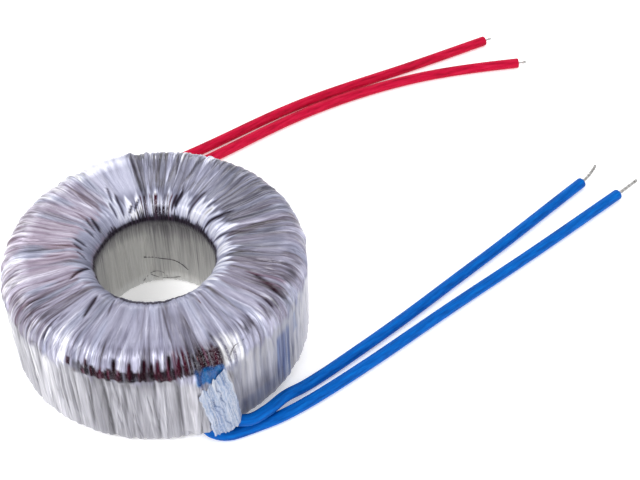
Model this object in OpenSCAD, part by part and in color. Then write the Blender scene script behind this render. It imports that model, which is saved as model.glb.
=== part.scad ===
// Toroidal transformer: a strip-wound core in two caps, an inner winding, a film layer,
// an outer winding of one round wire, and a lapped film wrap with four free leads.
// The winding axis is Z and the ring stands on its lower face at z = 0.

/* [Ring] */
// Outer diameter of the wrapped ring
outer_d = 62; // [52:1:76]
// Height of the wrapped ring
height = 25; // [20:1:32]
// Clear diameter of the centre hole
hole_d = 24; // [20:1:30]
// Rounding of the upper outer edge
edge_out = 5; // [4:0.5:6]
// Rounding of the upper edge at the hole
edge_in = 6; // [5:0.5:7]
// Rounding of both lower edges
edge_base = 2.5; // [2.2:0.1:3.2]

/* [Outer wrap] */
// Thickness of the wrapped film
film_t = 0.3; // [0.2:0.05:0.45]
// Extra thickness where a turn of film laps the one before it
lap_t = 0.12; // [0.06:0.02:0.2]
// Turns of film round the ring
laps = 30; // [12:1:40]
// Share of each turn that is lapped
lap_share = 0.4; // [0.2:0.05:0.6]

/* [Outer winding] */
// Diameter of the enamelled wire
wire_d = 0.7; // [0.5:0.05:0.9]
// Space between neighbouring turns in the hole
turn_gap = 0.07; // [0.04:0.01:0.2]

/* [Inner winding] */
// Build of the inner winding on the outer wall
build_side = 1.2; // [0.8:0.1:2]
// Build of the inner winding on the base
build_base = 1.7; // [1:0.1:2.4]
// Build of the inner winding on top, at its crest
build_top = 2.2; // [1.4:0.1:3]
// Diameter of the inner winding's wire, seen at its two tails
tail_d = 0.4; // [0.2:0.05:0.5]
// Thickness of the film between the windings
ins_t = 0.2; // [0.1:0.05:0.3]
// Space between one layer and the next
lay_gap = 0.08; // [0.06:0.01:0.12]

/* [Core] */
// Wall of the core's two caps
cap_t = 0.9; // [0.7:0.1:1.4]
// Rounding of the caps' edges
cap_edge = 1.2; // [1:0.1:1.6]
// Height over which the caps' skirts overlap
cap_lap = 3; // [2:0.5:5]
// Space between the core and its caps
core_gap = 0.15; // [0.1:0.05:0.3]
// Thickness of the steel strip, seen as a step at its two ends
strip_t = 0.3; // [0.2:0.05:0.5]

/* [Leads] */
// Diameter over the leads' insulation
lead_d = 2.5; // [2:0.1:2.8]
// Wall of the sleeve shrunk over each splice
sleeve_t = 0.18; // [0.1:0.02:0.3]
// Length of each splice sleeve
sleeve_len = 9.1; // [8.5:0.1:10]
// Length of lead held inside its sleeve
lead_grip = 5.5; // [4:0.5:6]
// Height of the blue splices above the red ones
blue_rise = 2; // [0:0.1:2.2]
// Thickness of the pad under each pair of splices
pad_t = 0.2; // [0.1:0.05:0.3]
// Direction of the blue pair round the axis, in degrees
lead_angle = -77; // [-80:1:-74]
// Height at which the leads leave the wrap
mouth_z = 7; // [6:0.5:8]
// Diameter of the blue leads' bare ends
blue_end_d = 0.8; // [0.6:0.1:1.2]
// Length of the blue leads' bare ends
blue_end_len = 7; // [4:0.5:9]
// Diameter of the red leads' bare ends
red_end_d = 0.4; // [0.3:0.1:0.8]
// Length of the red leads' bare ends
red_end_len = 2.2; // [1.8:0.2:5]

/* [Hidden] */

$fn = 96;
ARC_STEPS = 8;
BIG = 200;
// Direction on the hole's upper edge at which each lap of film starts
LAP_FROM = 155;
// Collars join the wire of each turn to the next; there is a little play inside them
COLLAR_H = 0.6;
COLLAR_PLAY = 0.04;
// Clearances round the leads and splices, and beside them in the wrap's swelling
SLIP = 0.02;
SEAT_GAP = 0.1;
TENT_PLAY = 0.8;
// The splices end this far below the outer edge's start, and the wires bend above them
SPLICE_DROP = 0.9;
BEND_ABOVE = 0.1;
// Height of the shoulder where a sleeve starts to narrow, above its lead
SHOULDER = 0.3;
// Laps and pads start this far above the base's edge and the leads' mouth
LOW_EDGE = 0.5;

// Radii of the finished ring
outer_r = outer_d / 2;
hole_r = hole_d / 2;

// Centres of the section's rounded edges, as [radius, height]
top_in = [hole_r + edge_in, height - edge_in];
top_out = [outer_r - edge_out, height - edge_out];
base_in = [hole_r + edge_base, edge_base];

// Depths below the finished surface at which the layers lie
wire_depth = film_t + lay_gap + wire_d / 2;
film_depth = wire_depth + wire_d / 2 + lay_gap;
inner_depth = film_depth + ins_t + lay_gap;

// The inner winding has as much wire on the outer wall as in the hole
inner_r_out = outer_r - inner_depth;
inner_r_in = hole_r + inner_depth;
build_hole = sqrt(pow(inner_r_in, 2) + pow(inner_r_out, 2)
                  - pow(inner_r_out - build_side, 2)) - inner_r_in;

// Outside of the two caps taken together
cap_r_out = inner_r_out - build_side - lay_gap;
cap_r_in = inner_r_in + build_hole + lay_gap;
cap_z0 = inner_depth + build_base + lay_gap;
cap_z1 = height - inner_depth - build_top - lay_gap;
cap_mid = (cap_z0 + cap_z1) / 2;

// Outer winding: turns lie side by side in the hole and spread towards the outside
wire_r_in = hole_r + wire_depth;
wire_r_out = outer_r - wire_depth;
places = floor(360 / (2 * asin((wire_d + turn_gap) / 2 / wire_r_in)));
pitch = 360 / places;
last_turn = places - 2;
first_angle = lead_angle + pitch;
turn_z = edge_base + COLLAR_H;

// Splices stand side by side outside the winding, two places apart
pair_angle = pitch;
sleeve_bore = lead_d / 2 + SLIP;
sleeve_r = sleeve_bore + sleeve_t;
pad_r = outer_r - film_t;
pad_half_angle = 8;
seat_r = pad_r + pad_t + SEAT_GAP + sleeve_r;
red_angle = lead_angle + (floor(180 / pitch) + 0.5) * pitch;
sleeve_z1 = top_out[1] - SPLICE_DROP;
sleeve_z0 = sleeve_z1 - sleeve_len;
lead_top = sleeve_z0 + lead_grip;
blue_top = lead_top + blue_rise;
// Each sleeve narrows from just above its lead to a neck round the wire
neck = 1;
shoulder_z = lead_top + SHOULDER;
// Wires come in over the top of the sleeves and fold down into them
fold_z = sleeve_z1 + BEND_ABOVE;
tail_bend = 1;
tail_z = fold_z + tail_bend;
wire_end_z = lead_top + lay_gap;

// The wrap stands out over each pair of splices
tent_r = seat_r + sleeve_r + SEAT_GAP + film_t;
tent_half = seat_r * sin(pair_angle) + sleeve_r + TENT_PLAY + film_t;
tent_slope = 0.85;

// Routes of the leads, from the splice out to the bare end
floor_z = 1.25;
blue_a_route = [[9.21, -31.11, blue_top], [9.21, -31.11, 8.5], [10.4, -31.15, 5.3], [14, -31.3, 4.1],
                [18, -29.4, 3.9], [22, -25.9, 2.8], [26.5, -23, 1.4], [32, -20, floor_z],
                [38, -16.5, floor_z], [44, -13, floor_z], [50, -9.5, floor_z],
                [56, -5.5, floor_z], [62, -1.5, floor_z], [68, 2.5, floor_z],
                [75, 6.5, floor_z], [81.5, 11, floor_z], [88, 15.5, floor_z],
                [94.5, 20, floor_z], [101.5, 24.5, floor_z]];
blue_b_route = [[5.36, -32, blue_top], [5.36, -32, 6], [6.8, -32.1, 2.7], [10.2, -32, floor_z],
                [15, -31, floor_z], [20.5, -29.5, floor_z], [26.5, -27, floor_z],
                [32.5, -24, floor_z], [38.5, -21, floor_z], [44.5, -17.5, floor_z],
                [50.5, -14, floor_z], [56.5, -10.5, floor_z], [62.5, -7, floor_z],
                [69, -3.5, floor_z], [75.5, 0, floor_z], [82, 3.5, floor_z],
                [88.5, 7.5, floor_z], [95, 11, floor_z], [101.5, 15, floor_z],
                [108.5, 19, floor_z]];
red_a_route = [[-9.21, 31.11, lead_top], [-9.21, 31.11, 6.5], [-9.6, 32.6, 2.8], [-10.5, 36, floor_z],
               [-9.5, 41, floor_z], [-5.5, 45.5, floor_z], [0.5, 48.5, floor_z],
               [8, 51, floor_z], [15, 53.5, floor_z], [21.5, 57, floor_z],
               [28, 60.5, floor_z], [34.5, 63.5, floor_z], [41.5, 66.5, floor_z],
               [48.5, 69, floor_z], [56, 71, floor_z], [63.5, 73, floor_z],
               [71, 75, floor_z], [78.5, 77.5, floor_z], [86, 80, floor_z],
               [94, 82.5, floor_z]];
red_b_route = [[-5.36, 32, lead_top], [-5.36, 32, 6.5], [-5.6, 33.6, 2.8], [-6, 37, floor_z],
               [-3.5, 40.5, floor_z], [1.5, 43.5, floor_z], [7.5, 46, floor_z],
               [13, 48.5, floor_z], [18.5, 51, floor_z], [24, 54, floor_z],
               [30, 57, floor_z], [36.5, 60.5, floor_z], [43.5, 63.5, floor_z],
               [51, 66, floor_z], [58.5, 68, floor_z], [66, 70, floor_z],
               [73.5, 71, floor_z], [81, 72, floor_z], [90.5, 72, floor_z],
               [100, 71.5, floor_z]];

STEEL = [0.45, 0.46, 0.48];
NYLON = [0.9, 0.88, 0.8];
COPPER = [0.62, 0.2, 0.12];
ENAMEL = [0.42, 0.1, 0.12];
POLYESTER = [0.85, 0.84, 0.75];
FILM = [0.8, 0.79, 0.86];
BLUE = [0.05, 0.36, 0.8];
RED = [0.83, 0.1, 0.26];
TIN = [0.75, 0.75, 0.76];

// ---- Section of the ring -------------------------------------------------------------

// Points of an arc about a centre, from one angle to another
function arc(c, r, a0, a1) =
    [for (i = [0 : ARC_STEPS]) c + r * [cos(a0 + (a1 - a0) * i / ARC_STEPS),
                                        sin(a0 + (a1 - a0) * i / ARC_STEPS)]];

// The upper half of a section's edge, from the hole over the top to the outer wall
function upper_edge(depth, r, from = 180) =
    concat(arc(top_in, edge_in - depth, from, 90),
           arc([r - edge_out, height - edge_out], edge_out - depth, 90, 0));

// A whole section that lies a given depth below the surface of a ring of radius r
function section(depth, r) =
    concat(upper_edge(depth, r),
           arc([r - edge_base, edge_base], edge_base - depth, 0, -90),
           arc(base_in, edge_base - depth, -90, -180));

module ring(depth, r = outer_r) {
    rotate_extrude() polygon(section(depth, r));
}

// ---- Core and caps -------------------------------------------------------------------

// A disc whose edge steps in by one strip at angle 0, as the end of a wound strip does
module wound_disc(r, z) {
    rotate_extrude(angle = 180) square([r, z]);
    translate([-strip_t / 2, 0, 0])
        rotate([0, 0, 180]) rotate_extrude(angle = 180) square([r - strip_t / 2, z]);
}

module core() {
    core_z0 = cap_z0 + cap_t + core_gap;
    core_h = cap_z1 - cap_t - core_gap - core_z0;
    color(STEEL)
        translate([0, 0, core_z0])
            difference() {
                wound_disc(cap_r_out - cap_t - core_gap, core_h);
                translate([0, 0, -1])
                    wound_disc(cap_r_in + cap_t + core_gap + strip_t, core_h + 2);
            }
}

// Half of the two caps' common section; side is 1 for the top one and -1 for the other
module cap_shell(side) {
    z_end = side > 0 ? cap_z1 : cap_z0;
    c_out = [cap_r_out - cap_edge, z_end - side * cap_edge];
    c_in = [cap_r_in + cap_edge, z_end - side * cap_edge];
    inner = cap_edge - cap_t;
    rotate_extrude()
        polygon(concat([[cap_r_in, cap_mid]],
                       arc(c_in, cap_edge, 180, side > 0 ? 90 : 270),
                       arc(c_out, cap_edge, side > 0 ? 90 : -90, 0),
                       [[cap_r_out, cap_mid], [cap_r_out - cap_t, cap_mid]],
                       arc(c_out, inner, 0, side > 0 ? 90 : -90),
                       arc(c_in, inner, side > 0 ? 90 : 270, 180),
                       [[cap_r_in + cap_t, cap_mid]]));
}

// A thin-walled tube, such as one half of the lap between the caps' skirts
module tube(r_in, r_out, z0, z1) {
    translate([0, 0, z0])
        difference() {
            cylinder(r = r_out, h = z1 - z0);
            translate([0, 0, -1]) cylinder(r = r_in, h = z1 - z0 + 2);
        }
}

module core_cap_top() {
    half = (cap_t - core_gap) / 2;
    color(NYLON)
        union() {
            cap_shell(1);
            tube(cap_r_out - half, cap_r_out, cap_mid - cap_lap, cap_mid);
            tube(cap_r_in, cap_r_in + half, cap_mid - cap_lap, cap_mid);
        }
}

module core_cap_bottom() {
    half = (cap_t - core_gap) / 2;
    color(NYLON)
        difference() {
            cap_shell(-1);
            tube(cap_r_out - cap_t + half, cap_r_out + 1, cap_mid - cap_lap - core_gap, BIG);
            tube(cap_r_in - 1, cap_r_in + cap_t - half, cap_mid - cap_lap - core_gap, BIG);
        }
}

// ---- Windings ------------------------------------------------------------------------

// Stands a shape drawn in x and y up in the vertical plane at an angle round the axis
module upright(angle) {
    rotate([90, 0, angle]) children();
}

// A quarter turn, or other arc, of round wire in the plane of x and y
module wire_arc(c, r, a0, a1, d) {
    translate([c[0], c[1], 0])
        rotate([0, 0, a0])
            rotate_extrude(angle = a1 - a0, $fn = 48) translate([r, 0]) circle(d = d, $fn = 24);
}

// A straight length of round wire in the plane of x and y
module wire_run(p, q, d) {
    translate([p[0], p[1], 0])
        rotate([0, 90, atan2(q[1] - p[1], q[0] - p[0])])
            cylinder(d = d, h = norm(q - p), $fn = 24);
}

// The fold of the wire's first end, up the outer wall and down into its splice
module turn_first(angle) {
    fold = (seat_r - wire_r_out) / 2;
    z = fold_z + blue_rise;
    upright(angle) {
        wire_run([wire_r_out, turn_z], [wire_r_out, z], wire_d);
        wire_arc([wire_r_out + fold, z], fold, 0, 180, wire_d);
        wire_run([seat_r, wire_end_z + blue_rise], [seat_r, z], wire_d);
    }
}

// Up through the hole, out across the top and, with a bend that ends at height z_bend,
// down at radius r to height z_end
module turn_over(angle, r, z_bend, z_end) {
    bend_in = edge_in - wire_depth;
    bend_out = height - wire_depth - z_bend;
    drop = [r - bend_out, z_bend];
    upright(angle) {
        wire_run([wire_r_in, turn_z], [wire_r_in, top_in[1]], wire_d);
        wire_arc(top_in, bend_in, 90, 180, wire_d);
        wire_run(top_in + [0, bend_in], drop + [0, bend_out], wire_d);
        wire_arc(drop, bend_out, 0, 90, wire_d);
        wire_run([r, z_end], [r, z_bend], wire_d);
    }
}

// Across the base, from the outer wall at one place to the hole at the next
module turn_under(angle) {
    bend = edge_base - wire_depth;
    outside = wire_r_out * [cos(angle), sin(angle)];
    inside = wire_r_in * [cos(angle + pitch), sin(angle + pitch)];
    span = norm(outside - inside);
    translate([inside[0], inside[1], 0])
        upright(atan2(outside[1] - inside[1], outside[0] - inside[0])) {
            wire_arc([bend, edge_base], bend, 180, 270, wire_d);
            wire_run([bend, edge_base - bend], [span - bend, edge_base - bend], wire_d);
            wire_arc([span - bend, edge_base], bend, 270, 360, wire_d);
            for (x = [0, span]) {
                wire_run([x, edge_base], [x, turn_z - COLLAR_PLAY], wire_d);
                wire_run([x, turn_z - COLLAR_H / 2], [x, turn_z + COLLAR_H / 2],
                         wire_d + COLLAR_PLAY);
            }
        }
}

// One wire from the first splice, round the ring turn by turn, to the second splice
module outer_winding() {
    color(ENAMEL)
        for (k = [0 : last_turn]) {
            angle = first_angle + k * pitch;
            if (k == 0) turn_first(angle);
            if (k > 0 && k < last_turn) turn_over(angle, wire_r_out, top_out[1], turn_z);
            if (k == last_turn)
                turn_over(angle, seat_r, fold_z + blue_rise, wire_end_z + blue_rise);
            if (k < last_turn) turn_under(angle);
        }
}

// The inner winding's wire end, led out between two outer turns and down into a splice
module inner_tail(angle) {
    turn = [seat_r - tail_bend, fold_z];
    upright(angle) {
        wire_run([inner_r_out - build_side / 2, tail_z], [turn[0], tail_z], tail_d);
        wire_arc(turn, tail_bend, 0, 90, tail_d);
        wire_run([seat_r, wire_end_z], [seat_r, fold_z], tail_d);
    }
}

module inner_winding() {
    color(COPPER)
        union() {
            difference() {
                ring(inner_depth);
                rotate_extrude()
                    translate([cap_r_in - lay_gap, cap_z0 - lay_gap])
                        square([cap_r_out - cap_r_in + 2 * lay_gap,
                                cap_z1 - cap_z0 + 2 * lay_gap]);
            }
            for (s = [-1, 1]) inner_tail(red_angle + s * pair_angle);
        }
}

module interwinding_film() {
    color(POLYESTER)
        difference() {
            ring(film_depth);
            ring(film_depth + ins_t);
            for (s = [-1, 1])
                upright(red_angle + s * pair_angle)
                    wire_run([inner_r_out - build_side / 2, tail_z], [outer_r, tail_z],
                             tail_d + 2 * SEAT_GAP);
        }
}

// ---- Outer wrap ----------------------------------------------------------------------

// Plan of the wrap's swelling over a pair of splices, set in by a wall's thickness
module tent_plan(angle, wall) {
    near = outer_r - edge_out;
    far = tent_r + 2;
    half_far = tent_half - wall * norm([1, tent_slope]) - (far - tent_r) * tent_slope;
    half_near = half_far + (far - near) * tent_slope;
    rotate([0, 0, angle])
        translate([0, 0, mouth_z])
            linear_extrude(height)
                polygon([[near, -half_near], [far, -half_far],
                         [far, half_far], [near, half_near]]);
}

module tent(angle, wall) {
    intersection() {
        ring(wall, tent_r);
        tent_plan(angle, wall);
    }
}

// A lap: a raised band that runs from the hole over the top and down the outer wall
module lap_band(angle) {
    low = edge_base + LOW_EDGE;
    back = upper_edge(film_t / 2, outer_r, LAP_FROM);
    rotate([0, 0, angle])
        rotate_extrude(angle = lap_share * 360 / laps)
            polygon(concat(upper_edge(-lap_t, outer_r, LAP_FROM),
                           [[outer_r + lap_t, low], [outer_r - film_t / 2, low]],
                           [for (i = [len(back) - 1 : -1 : 0]) back[i]]));
}

module outer_wrap() {
    color(FILM)
        difference() {
            union() {
                ring(0);
                for (i = [0 : laps - 1]) lap_band(i * 360 / laps);
                tent(lead_angle, 0);
                tent(red_angle, 0);
            }
            ring(film_t);
            tent(lead_angle, film_t);
            tent(red_angle, film_t);
        }
}

// ---- Splices -------------------------------------------------------------------------

module splice_pad(angle) {
    low = mouth_z + LOW_EDGE;
    rotate([0, 0, angle - pad_half_angle])
        translate([0, 0, low])
            rotate_extrude(angle = 2 * pad_half_angle)
                translate([pad_r, 0])
                    square([pad_t, sleeve_z1 - low]);
}

// A sleeve that grips the lead below and is shrunk down onto the wire above
module splice_sleeve(angle, wire, rise = 0) {
    tip = wire / 2 + SLIP;
    rotate([0, 0, angle])
        translate([seat_r, 0, rise])
            rotate_extrude()
                polygon([[sleeve_bore, sleeve_z0], [sleeve_r, sleeve_z0],
                         [sleeve_r, shoulder_z], [tip + sleeve_t, sleeve_z1 - neck],
                         [tip + sleeve_t, sleeve_z1], [tip, sleeve_z1],
                         [tip, sleeve_z1 - neck], [sleeve_bore, shoulder_z]]);
}

module splice_pad_blue() {
    color(POLYESTER) splice_pad(lead_angle);
}

module splice_pad_red() {
    color(POLYESTER) splice_pad(red_angle);
}

module splice_sleeve_blue_a() {
    color(BLUE) splice_sleeve(lead_angle + pair_angle, wire_d, blue_rise);
}

module splice_sleeve_blue_b() {
    color(BLUE) splice_sleeve(lead_angle - pair_angle, wire_d, blue_rise);
}

module splice_sleeve_red_a() {
    color(RED) splice_sleeve(red_angle + pair_angle, tail_d);
}

module splice_sleeve_red_b() {
    color(RED) splice_sleeve(red_angle - pair_angle, tail_d);
}

// ---- Leads ---------------------------------------------------------------------------

SIDES = 8;

function unit(v) = v / norm(v);

// Direction of a route at one of its points
function heading(route, i) =
    i == 0 ? unit(route[1] - route[0])
    : i == len(route) - 1 ? unit(route[i] - route[i - 1])
    : unit(unit(route[i + 1] - route[i]) + unit(route[i] - route[i - 1]));

// Level direction across a route; where it runs straight down, across its first bend
function across(route, i) =
    let (t = heading(route, i), ahead = route[3] - route[0])
    abs(t[2]) > 0.95 ? unit(cross(t, unit([ahead[0], ahead[1], 0]))) : unit(cross(t, [0, 0, 1]));

// One ring of points about a route, with a flat side down
function ring_points(route, i) =
    let (s = across(route, i), up = cross(s, heading(route, i)))
    [for (k = [0 : SIDES - 1])
        route[i] + lead_d / 2 * (cos((k + 0.5) * 360 / SIDES) * s
                                 + sin((k + 0.5) * 360 / SIDES) * up)];

module lead(route) {
    n = len(route);
    points = [for (i = [0 : n - 1]) each ring_points(route, i)];
    walls = [for (i = [0 : n - 2], k = [0 : SIDES - 1])
                [i * SIDES + k, i * SIDES + (k + 1) % SIDES,
                 (i + 1) * SIDES + (k + 1) % SIDES, (i + 1) * SIDES + k]];
    start = [for (k = [SIDES - 1 : -1 : 0]) k];
    end = [for (k = [0 : SIDES - 1]) (n - 1) * SIDES + k];
    polyhedron(points, concat([start], walls, [end]), convexity = 4);
}

// Points +X along a route's last stretch, from its very end
module at_end(route) {
    last = route[len(route) - 1];
    d = last - route[len(route) - 2];
    translate(last) rotate([0, 0, atan2(d[1], d[0])]) rotate([0, 90, 0]) children();
}

// A thin bare end with a longer bead of solder at its tip
module beaded_end() {
    bead = 0.7;
    r = red_end_d / 2;
    rotate_extrude($fn = 32)
        polygon([[0, 0], [r, 0], [r, red_end_len - 3 * bead / 2],
                 [bead / 2, red_end_len - bead], [bead / 2, red_end_len - bead / 2],
                 [r, red_end_len], [0, red_end_len]]);
}

module lead_blue_a() {
    color(BLUE) lead(blue_a_route);
}

module lead_blue_b() {
    color(BLUE) lead(blue_b_route);
}

module lead_red_a() {
    color(RED) lead(red_a_route);
}

module lead_red_b() {
    color(RED) lead(red_b_route);
}

module lead_end_blue_a() {
    color(TIN) at_end(blue_a_route) cylinder(d = blue_end_d, h = blue_end_len, $fn = 32);
}

module lead_end_blue_b() {
    color(TIN) at_end(blue_b_route) cylinder(d = blue_end_d, h = blue_end_len, $fn = 32);
}

module lead_end_red_a() {
    color(TIN) at_end(red_a_route) beaded_end();
}

module lead_end_red_b() {
    color(TIN) at_end(red_b_route) beaded_end();
}

core();
core_cap_bottom();
core_cap_top();
inner_winding();
interwinding_film();
outer_winding();
outer_wrap();
splice_pad_blue();
splice_pad_red();
splice_sleeve_blue_a();
splice_sleeve_blue_b();
splice_sleeve_red_a();
splice_sleeve_red_b();
lead_blue_a();
lead_blue_b();
lead_red_a();
lead_red_b();
lead_end_blue_a();
lead_end_blue_b();
lead_end_red_a();
lead_end_red_b();
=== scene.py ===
# %% [markdown]
# # A small toroidal transformer
# The object is a ring of steel strip wound over with copper wire and then with clear
# polyester film. Four insulated leads come out of the film and end in bare tinned wire.
# The CAD model gives every piece its size and place. This lesson gives each one its looks:
# the wrinkles of the film, the gloss of the insulation, the strands of the bare ends.

# %% Load the frame
import math

import bpy
import numpy as np
from mathutils import Matrix, Vector


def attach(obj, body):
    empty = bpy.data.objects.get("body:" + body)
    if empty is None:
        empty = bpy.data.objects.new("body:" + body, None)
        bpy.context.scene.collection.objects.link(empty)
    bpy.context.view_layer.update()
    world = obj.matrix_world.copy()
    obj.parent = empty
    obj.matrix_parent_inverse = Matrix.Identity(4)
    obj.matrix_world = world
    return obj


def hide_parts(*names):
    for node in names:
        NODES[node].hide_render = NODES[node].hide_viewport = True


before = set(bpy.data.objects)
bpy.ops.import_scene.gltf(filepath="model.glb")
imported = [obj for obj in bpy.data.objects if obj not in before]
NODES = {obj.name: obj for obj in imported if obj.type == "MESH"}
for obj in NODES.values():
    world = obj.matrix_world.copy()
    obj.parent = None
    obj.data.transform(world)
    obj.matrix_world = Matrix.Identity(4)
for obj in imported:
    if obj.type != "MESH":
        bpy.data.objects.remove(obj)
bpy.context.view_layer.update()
MM = 0.001

# %% [markdown]
# The camera comes first, because everything else is judged through it. It stands in front
# of the ring and above it, about 29 centimetres away, with a long lens so that the ring
# shows little perspective. Its place is written as a position and three turns: yaw to the
# side, pitch down, and a slight roll.

# %% Camera
CAMERA_AT = Vector((0.0, -190.8, 215.2)) * MM
YAW, PITCH, ROLL = 0.1772, 0.7902, -0.0139
LENS, SENSOR = 74.7, 36.0


def camera_axes(yaw, pitch, roll):
    ahead = Vector((math.sin(yaw) * math.cos(pitch), math.cos(yaw) * math.cos(pitch), -math.sin(pitch)))
    level = Vector((math.cos(yaw), -math.sin(yaw), 0))
    upright = level.cross(ahead)
    right = math.cos(roll) * level + math.sin(roll) * upright
    up = -math.sin(roll) * level + math.cos(roll) * upright
    return right, up, -ahead


camera_data = bpy.data.cameras.new("camera")
camera_data.lens = LENS
camera_data.sensor_width = SENSOR
camera_data.clip_start, camera_data.clip_end = 0.01, 10
camera = bpy.data.objects.new("camera", camera_data)
bpy.context.scene.collection.objects.link(camera)
right, up, back = camera_axes(YAW, PITCH, ROLL)
camera.matrix_world = Matrix.Translation(CAMERA_AT) @ Matrix((right, up, back)).transposed().to_4x4()
bpy.context.scene.camera = camera
print("camera", [round(x, 4) for x in CAMERA_AT], "lens", LENS)

# %% [markdown]
# Helpers that every later cell uses. Colours are written as the hex values a designer
# would pick, and one function turns them into the linear values that the shader needs.
# One function adds a node, sets its values and joins its inputs.

# %% Helpers: colours and materials
def linear(hex_value):
    """A hex colour such as "#AA7040" as linear red, green, blue and an alpha of 1."""
    channels = [int(hex_value[i:i + 2], 16) / 255 for i in (1, 3, 5)]
    return tuple(c / 12.92 if c <= 0.04045 else ((c + 0.055) / 1.055) ** 2.4 for c in channels) + (1.0,)


def new_material(name):
    """A material whose tree holds a principled shader and the output, with the tree and the shader."""
    material = bpy.data.materials.new(name)
    material.use_nodes = True
    tree = material.node_tree
    tree.nodes.clear()
    output = tree.nodes.new("ShaderNodeOutputMaterial")
    shader = tree.nodes.new("ShaderNodeBsdfPrincipled")
    tree.links.new(shader.outputs[0], output.inputs["Surface"])
    return material, tree, shader


print("a mid grey is", [round(c, 3) for c in linear("#808080")])


# %% Helpers: nodes
def set_inputs(tree, node, **inputs):
    """Sets a node's inputs by name, or by place as i0, i1; a node or a socket is linked."""
    for key, value in inputs.items():
        socket = node.inputs[int(key[1:]) if key[0] == "i" and key[1:].isdigit() else key.replace("_", " ")]
        if isinstance(value, bpy.types.Node):
            value = value.outputs[0]
        if isinstance(value, bpy.types.NodeSocket):
            tree.links.new(value, socket)
        else:
            socket.default_value = value


def add(tree, kind, settings=None, stops=None, **inputs):
    """Adds a node and sets its inputs. kind may name an operation, as in "Math ADD"; settings are
    the node's own properties, and stops are the (position, hex colour) pairs of a colour ramp."""
    kind, *operation = kind.split()
    node = tree.nodes.new(kind if kind.startswith("Geometry") else "ShaderNode" + kind)
    for name in operation:
        node.operation = name
    for key, value in (settings or {}).items():
        setattr(node, key, value)
    if stops:
        elements = node.color_ramp.elements
        while len(elements) < len(stops):
            elements.new(1)
        for element, (position, colour) in zip(elements, stops):
            element.position = position
            element.color = linear(colour)
    set_inputs(tree, node, **inputs)
    return node


print("nodes are added by", add.__name__)


# %% Helpers: meshes
def new_piece(name, points, faces, material, smooth=True):
    """An object at the origin whose mesh holds these points, in metres."""
    mesh = bpy.data.meshes.new(name)
    mesh.from_pydata([tuple(map(float, p)) for p in points], [], [tuple(map(int, f)) for f in faces])
    mesh.materials.append(material)
    mesh.polygons.foreach_set("use_smooth", [smooth] * len(mesh.polygons))
    mesh.update()
    piece = bpy.data.objects.new(name, mesh)
    bpy.context.scene.collection.objects.link(piece)
    return piece


def set_uv(piece, uv_of_vertex):
    """Writes a UV map from one (u, v) for each vertex."""
    mesh = piece.data
    layer = mesh.uv_layers.new(name="surface")
    corner = np.empty(len(mesh.loops), np.int64)
    mesh.loops.foreach_get("vertex_index", corner)
    layer.data.foreach_set("uv", np.asarray(uv_of_vertex, np.float32)[corner].ravel())


def store(piece, name, values):
    """Writes a number, a vector or a colour for each vertex."""
    kinds = {1: ("FLOAT", "value"), 3: ("FLOAT_VECTOR", "vector"), 4: ("FLOAT_COLOR", "color")}
    kind, key = kinds[values.shape[1]]
    attribute = piece.data.attributes.new(name, kind, "POINT")
    attribute.data.foreach_set(key, values.astype(np.float32).ravel())


print("pieces are made by", new_piece.__name__)

# %% [markdown]
# A geometry node tree makes what repeats or follows a rule, here twisted strands and fine
# wrinkles. Its sizes are named inputs, which a modifier sets for each piece. Once it has
# run, its result is kept as a plain mesh, because the export needs one.

# %% Helpers: geometry node trees
def node_group(name, sockets):
    """An empty geometry node tree with named inputs, with its input sockets and its result."""
    group = bpy.data.node_groups.new(name, "GeometryNodeTree")
    for label, kind, default in sockets:
        socket = group.interface.new_socket(label, in_out="INPUT", socket_type="NodeSocket" + kind)
        if default is not None:
            socket.default_value = default
    group.interface.new_socket("Geometry", in_out="OUTPUT", socket_type="NodeSocketGeometry")
    return group, group.nodes.new("NodeGroupInput").outputs, group.nodes.new("NodeGroupOutput").inputs[0]


def finish_group(group, geometry, material, result):
    """Ends a tree: instances are made real, because the export drops them, and get their material."""
    real = add(group, "GeometryNodeRealizeInstances", Geometry=geometry)
    last = add(group, "GeometryNodeSetMaterial", Geometry=real, Material=material)
    group.links.new(last.outputs[0], result)


def grow(piece, group, values):
    """Runs a node tree on a piece and leaves the result as the piece's own plain mesh."""
    modifier = piece.modifiers.new(group.name, "NODES")
    modifier.node_group = group
    for item in group.interface.items_tree:
        if item.in_out == "INPUT" and item.name in values:
            modifier[item.identifier] = values[item.name]
    graph = bpy.context.evaluated_depsgraph_get()
    mesh = bpy.data.meshes.new_from_object(piece.evaluated_get(graph), preserve_all_data_layers=True,
                                           depsgraph=graph)
    piece.modifiers.remove(modifier)
    piece.data = mesh
    mesh.name = piece.name
    return piece


print("trees are run by", grow.__name__)

# %% [markdown]
# ## The leads
# Each lead is hook-up wire: tinned strands in soft PVC, 2.5 mm across. It comes down the
# ring's wall under the film, bends onto the table and lies there. The CAD model holds a
# plain eight-sided tube along the same route. A curve with a round bevel could show it, but
# a tube made point by point also gets a cut end with a rim and a bore, and its own UV map,
# so that marks can follow its length.

# %% Routes of the leads
LEAD_D, LEAD_SIDES = 2.5, 28
FLOOR_Z = LEAD_D / 2
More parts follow.
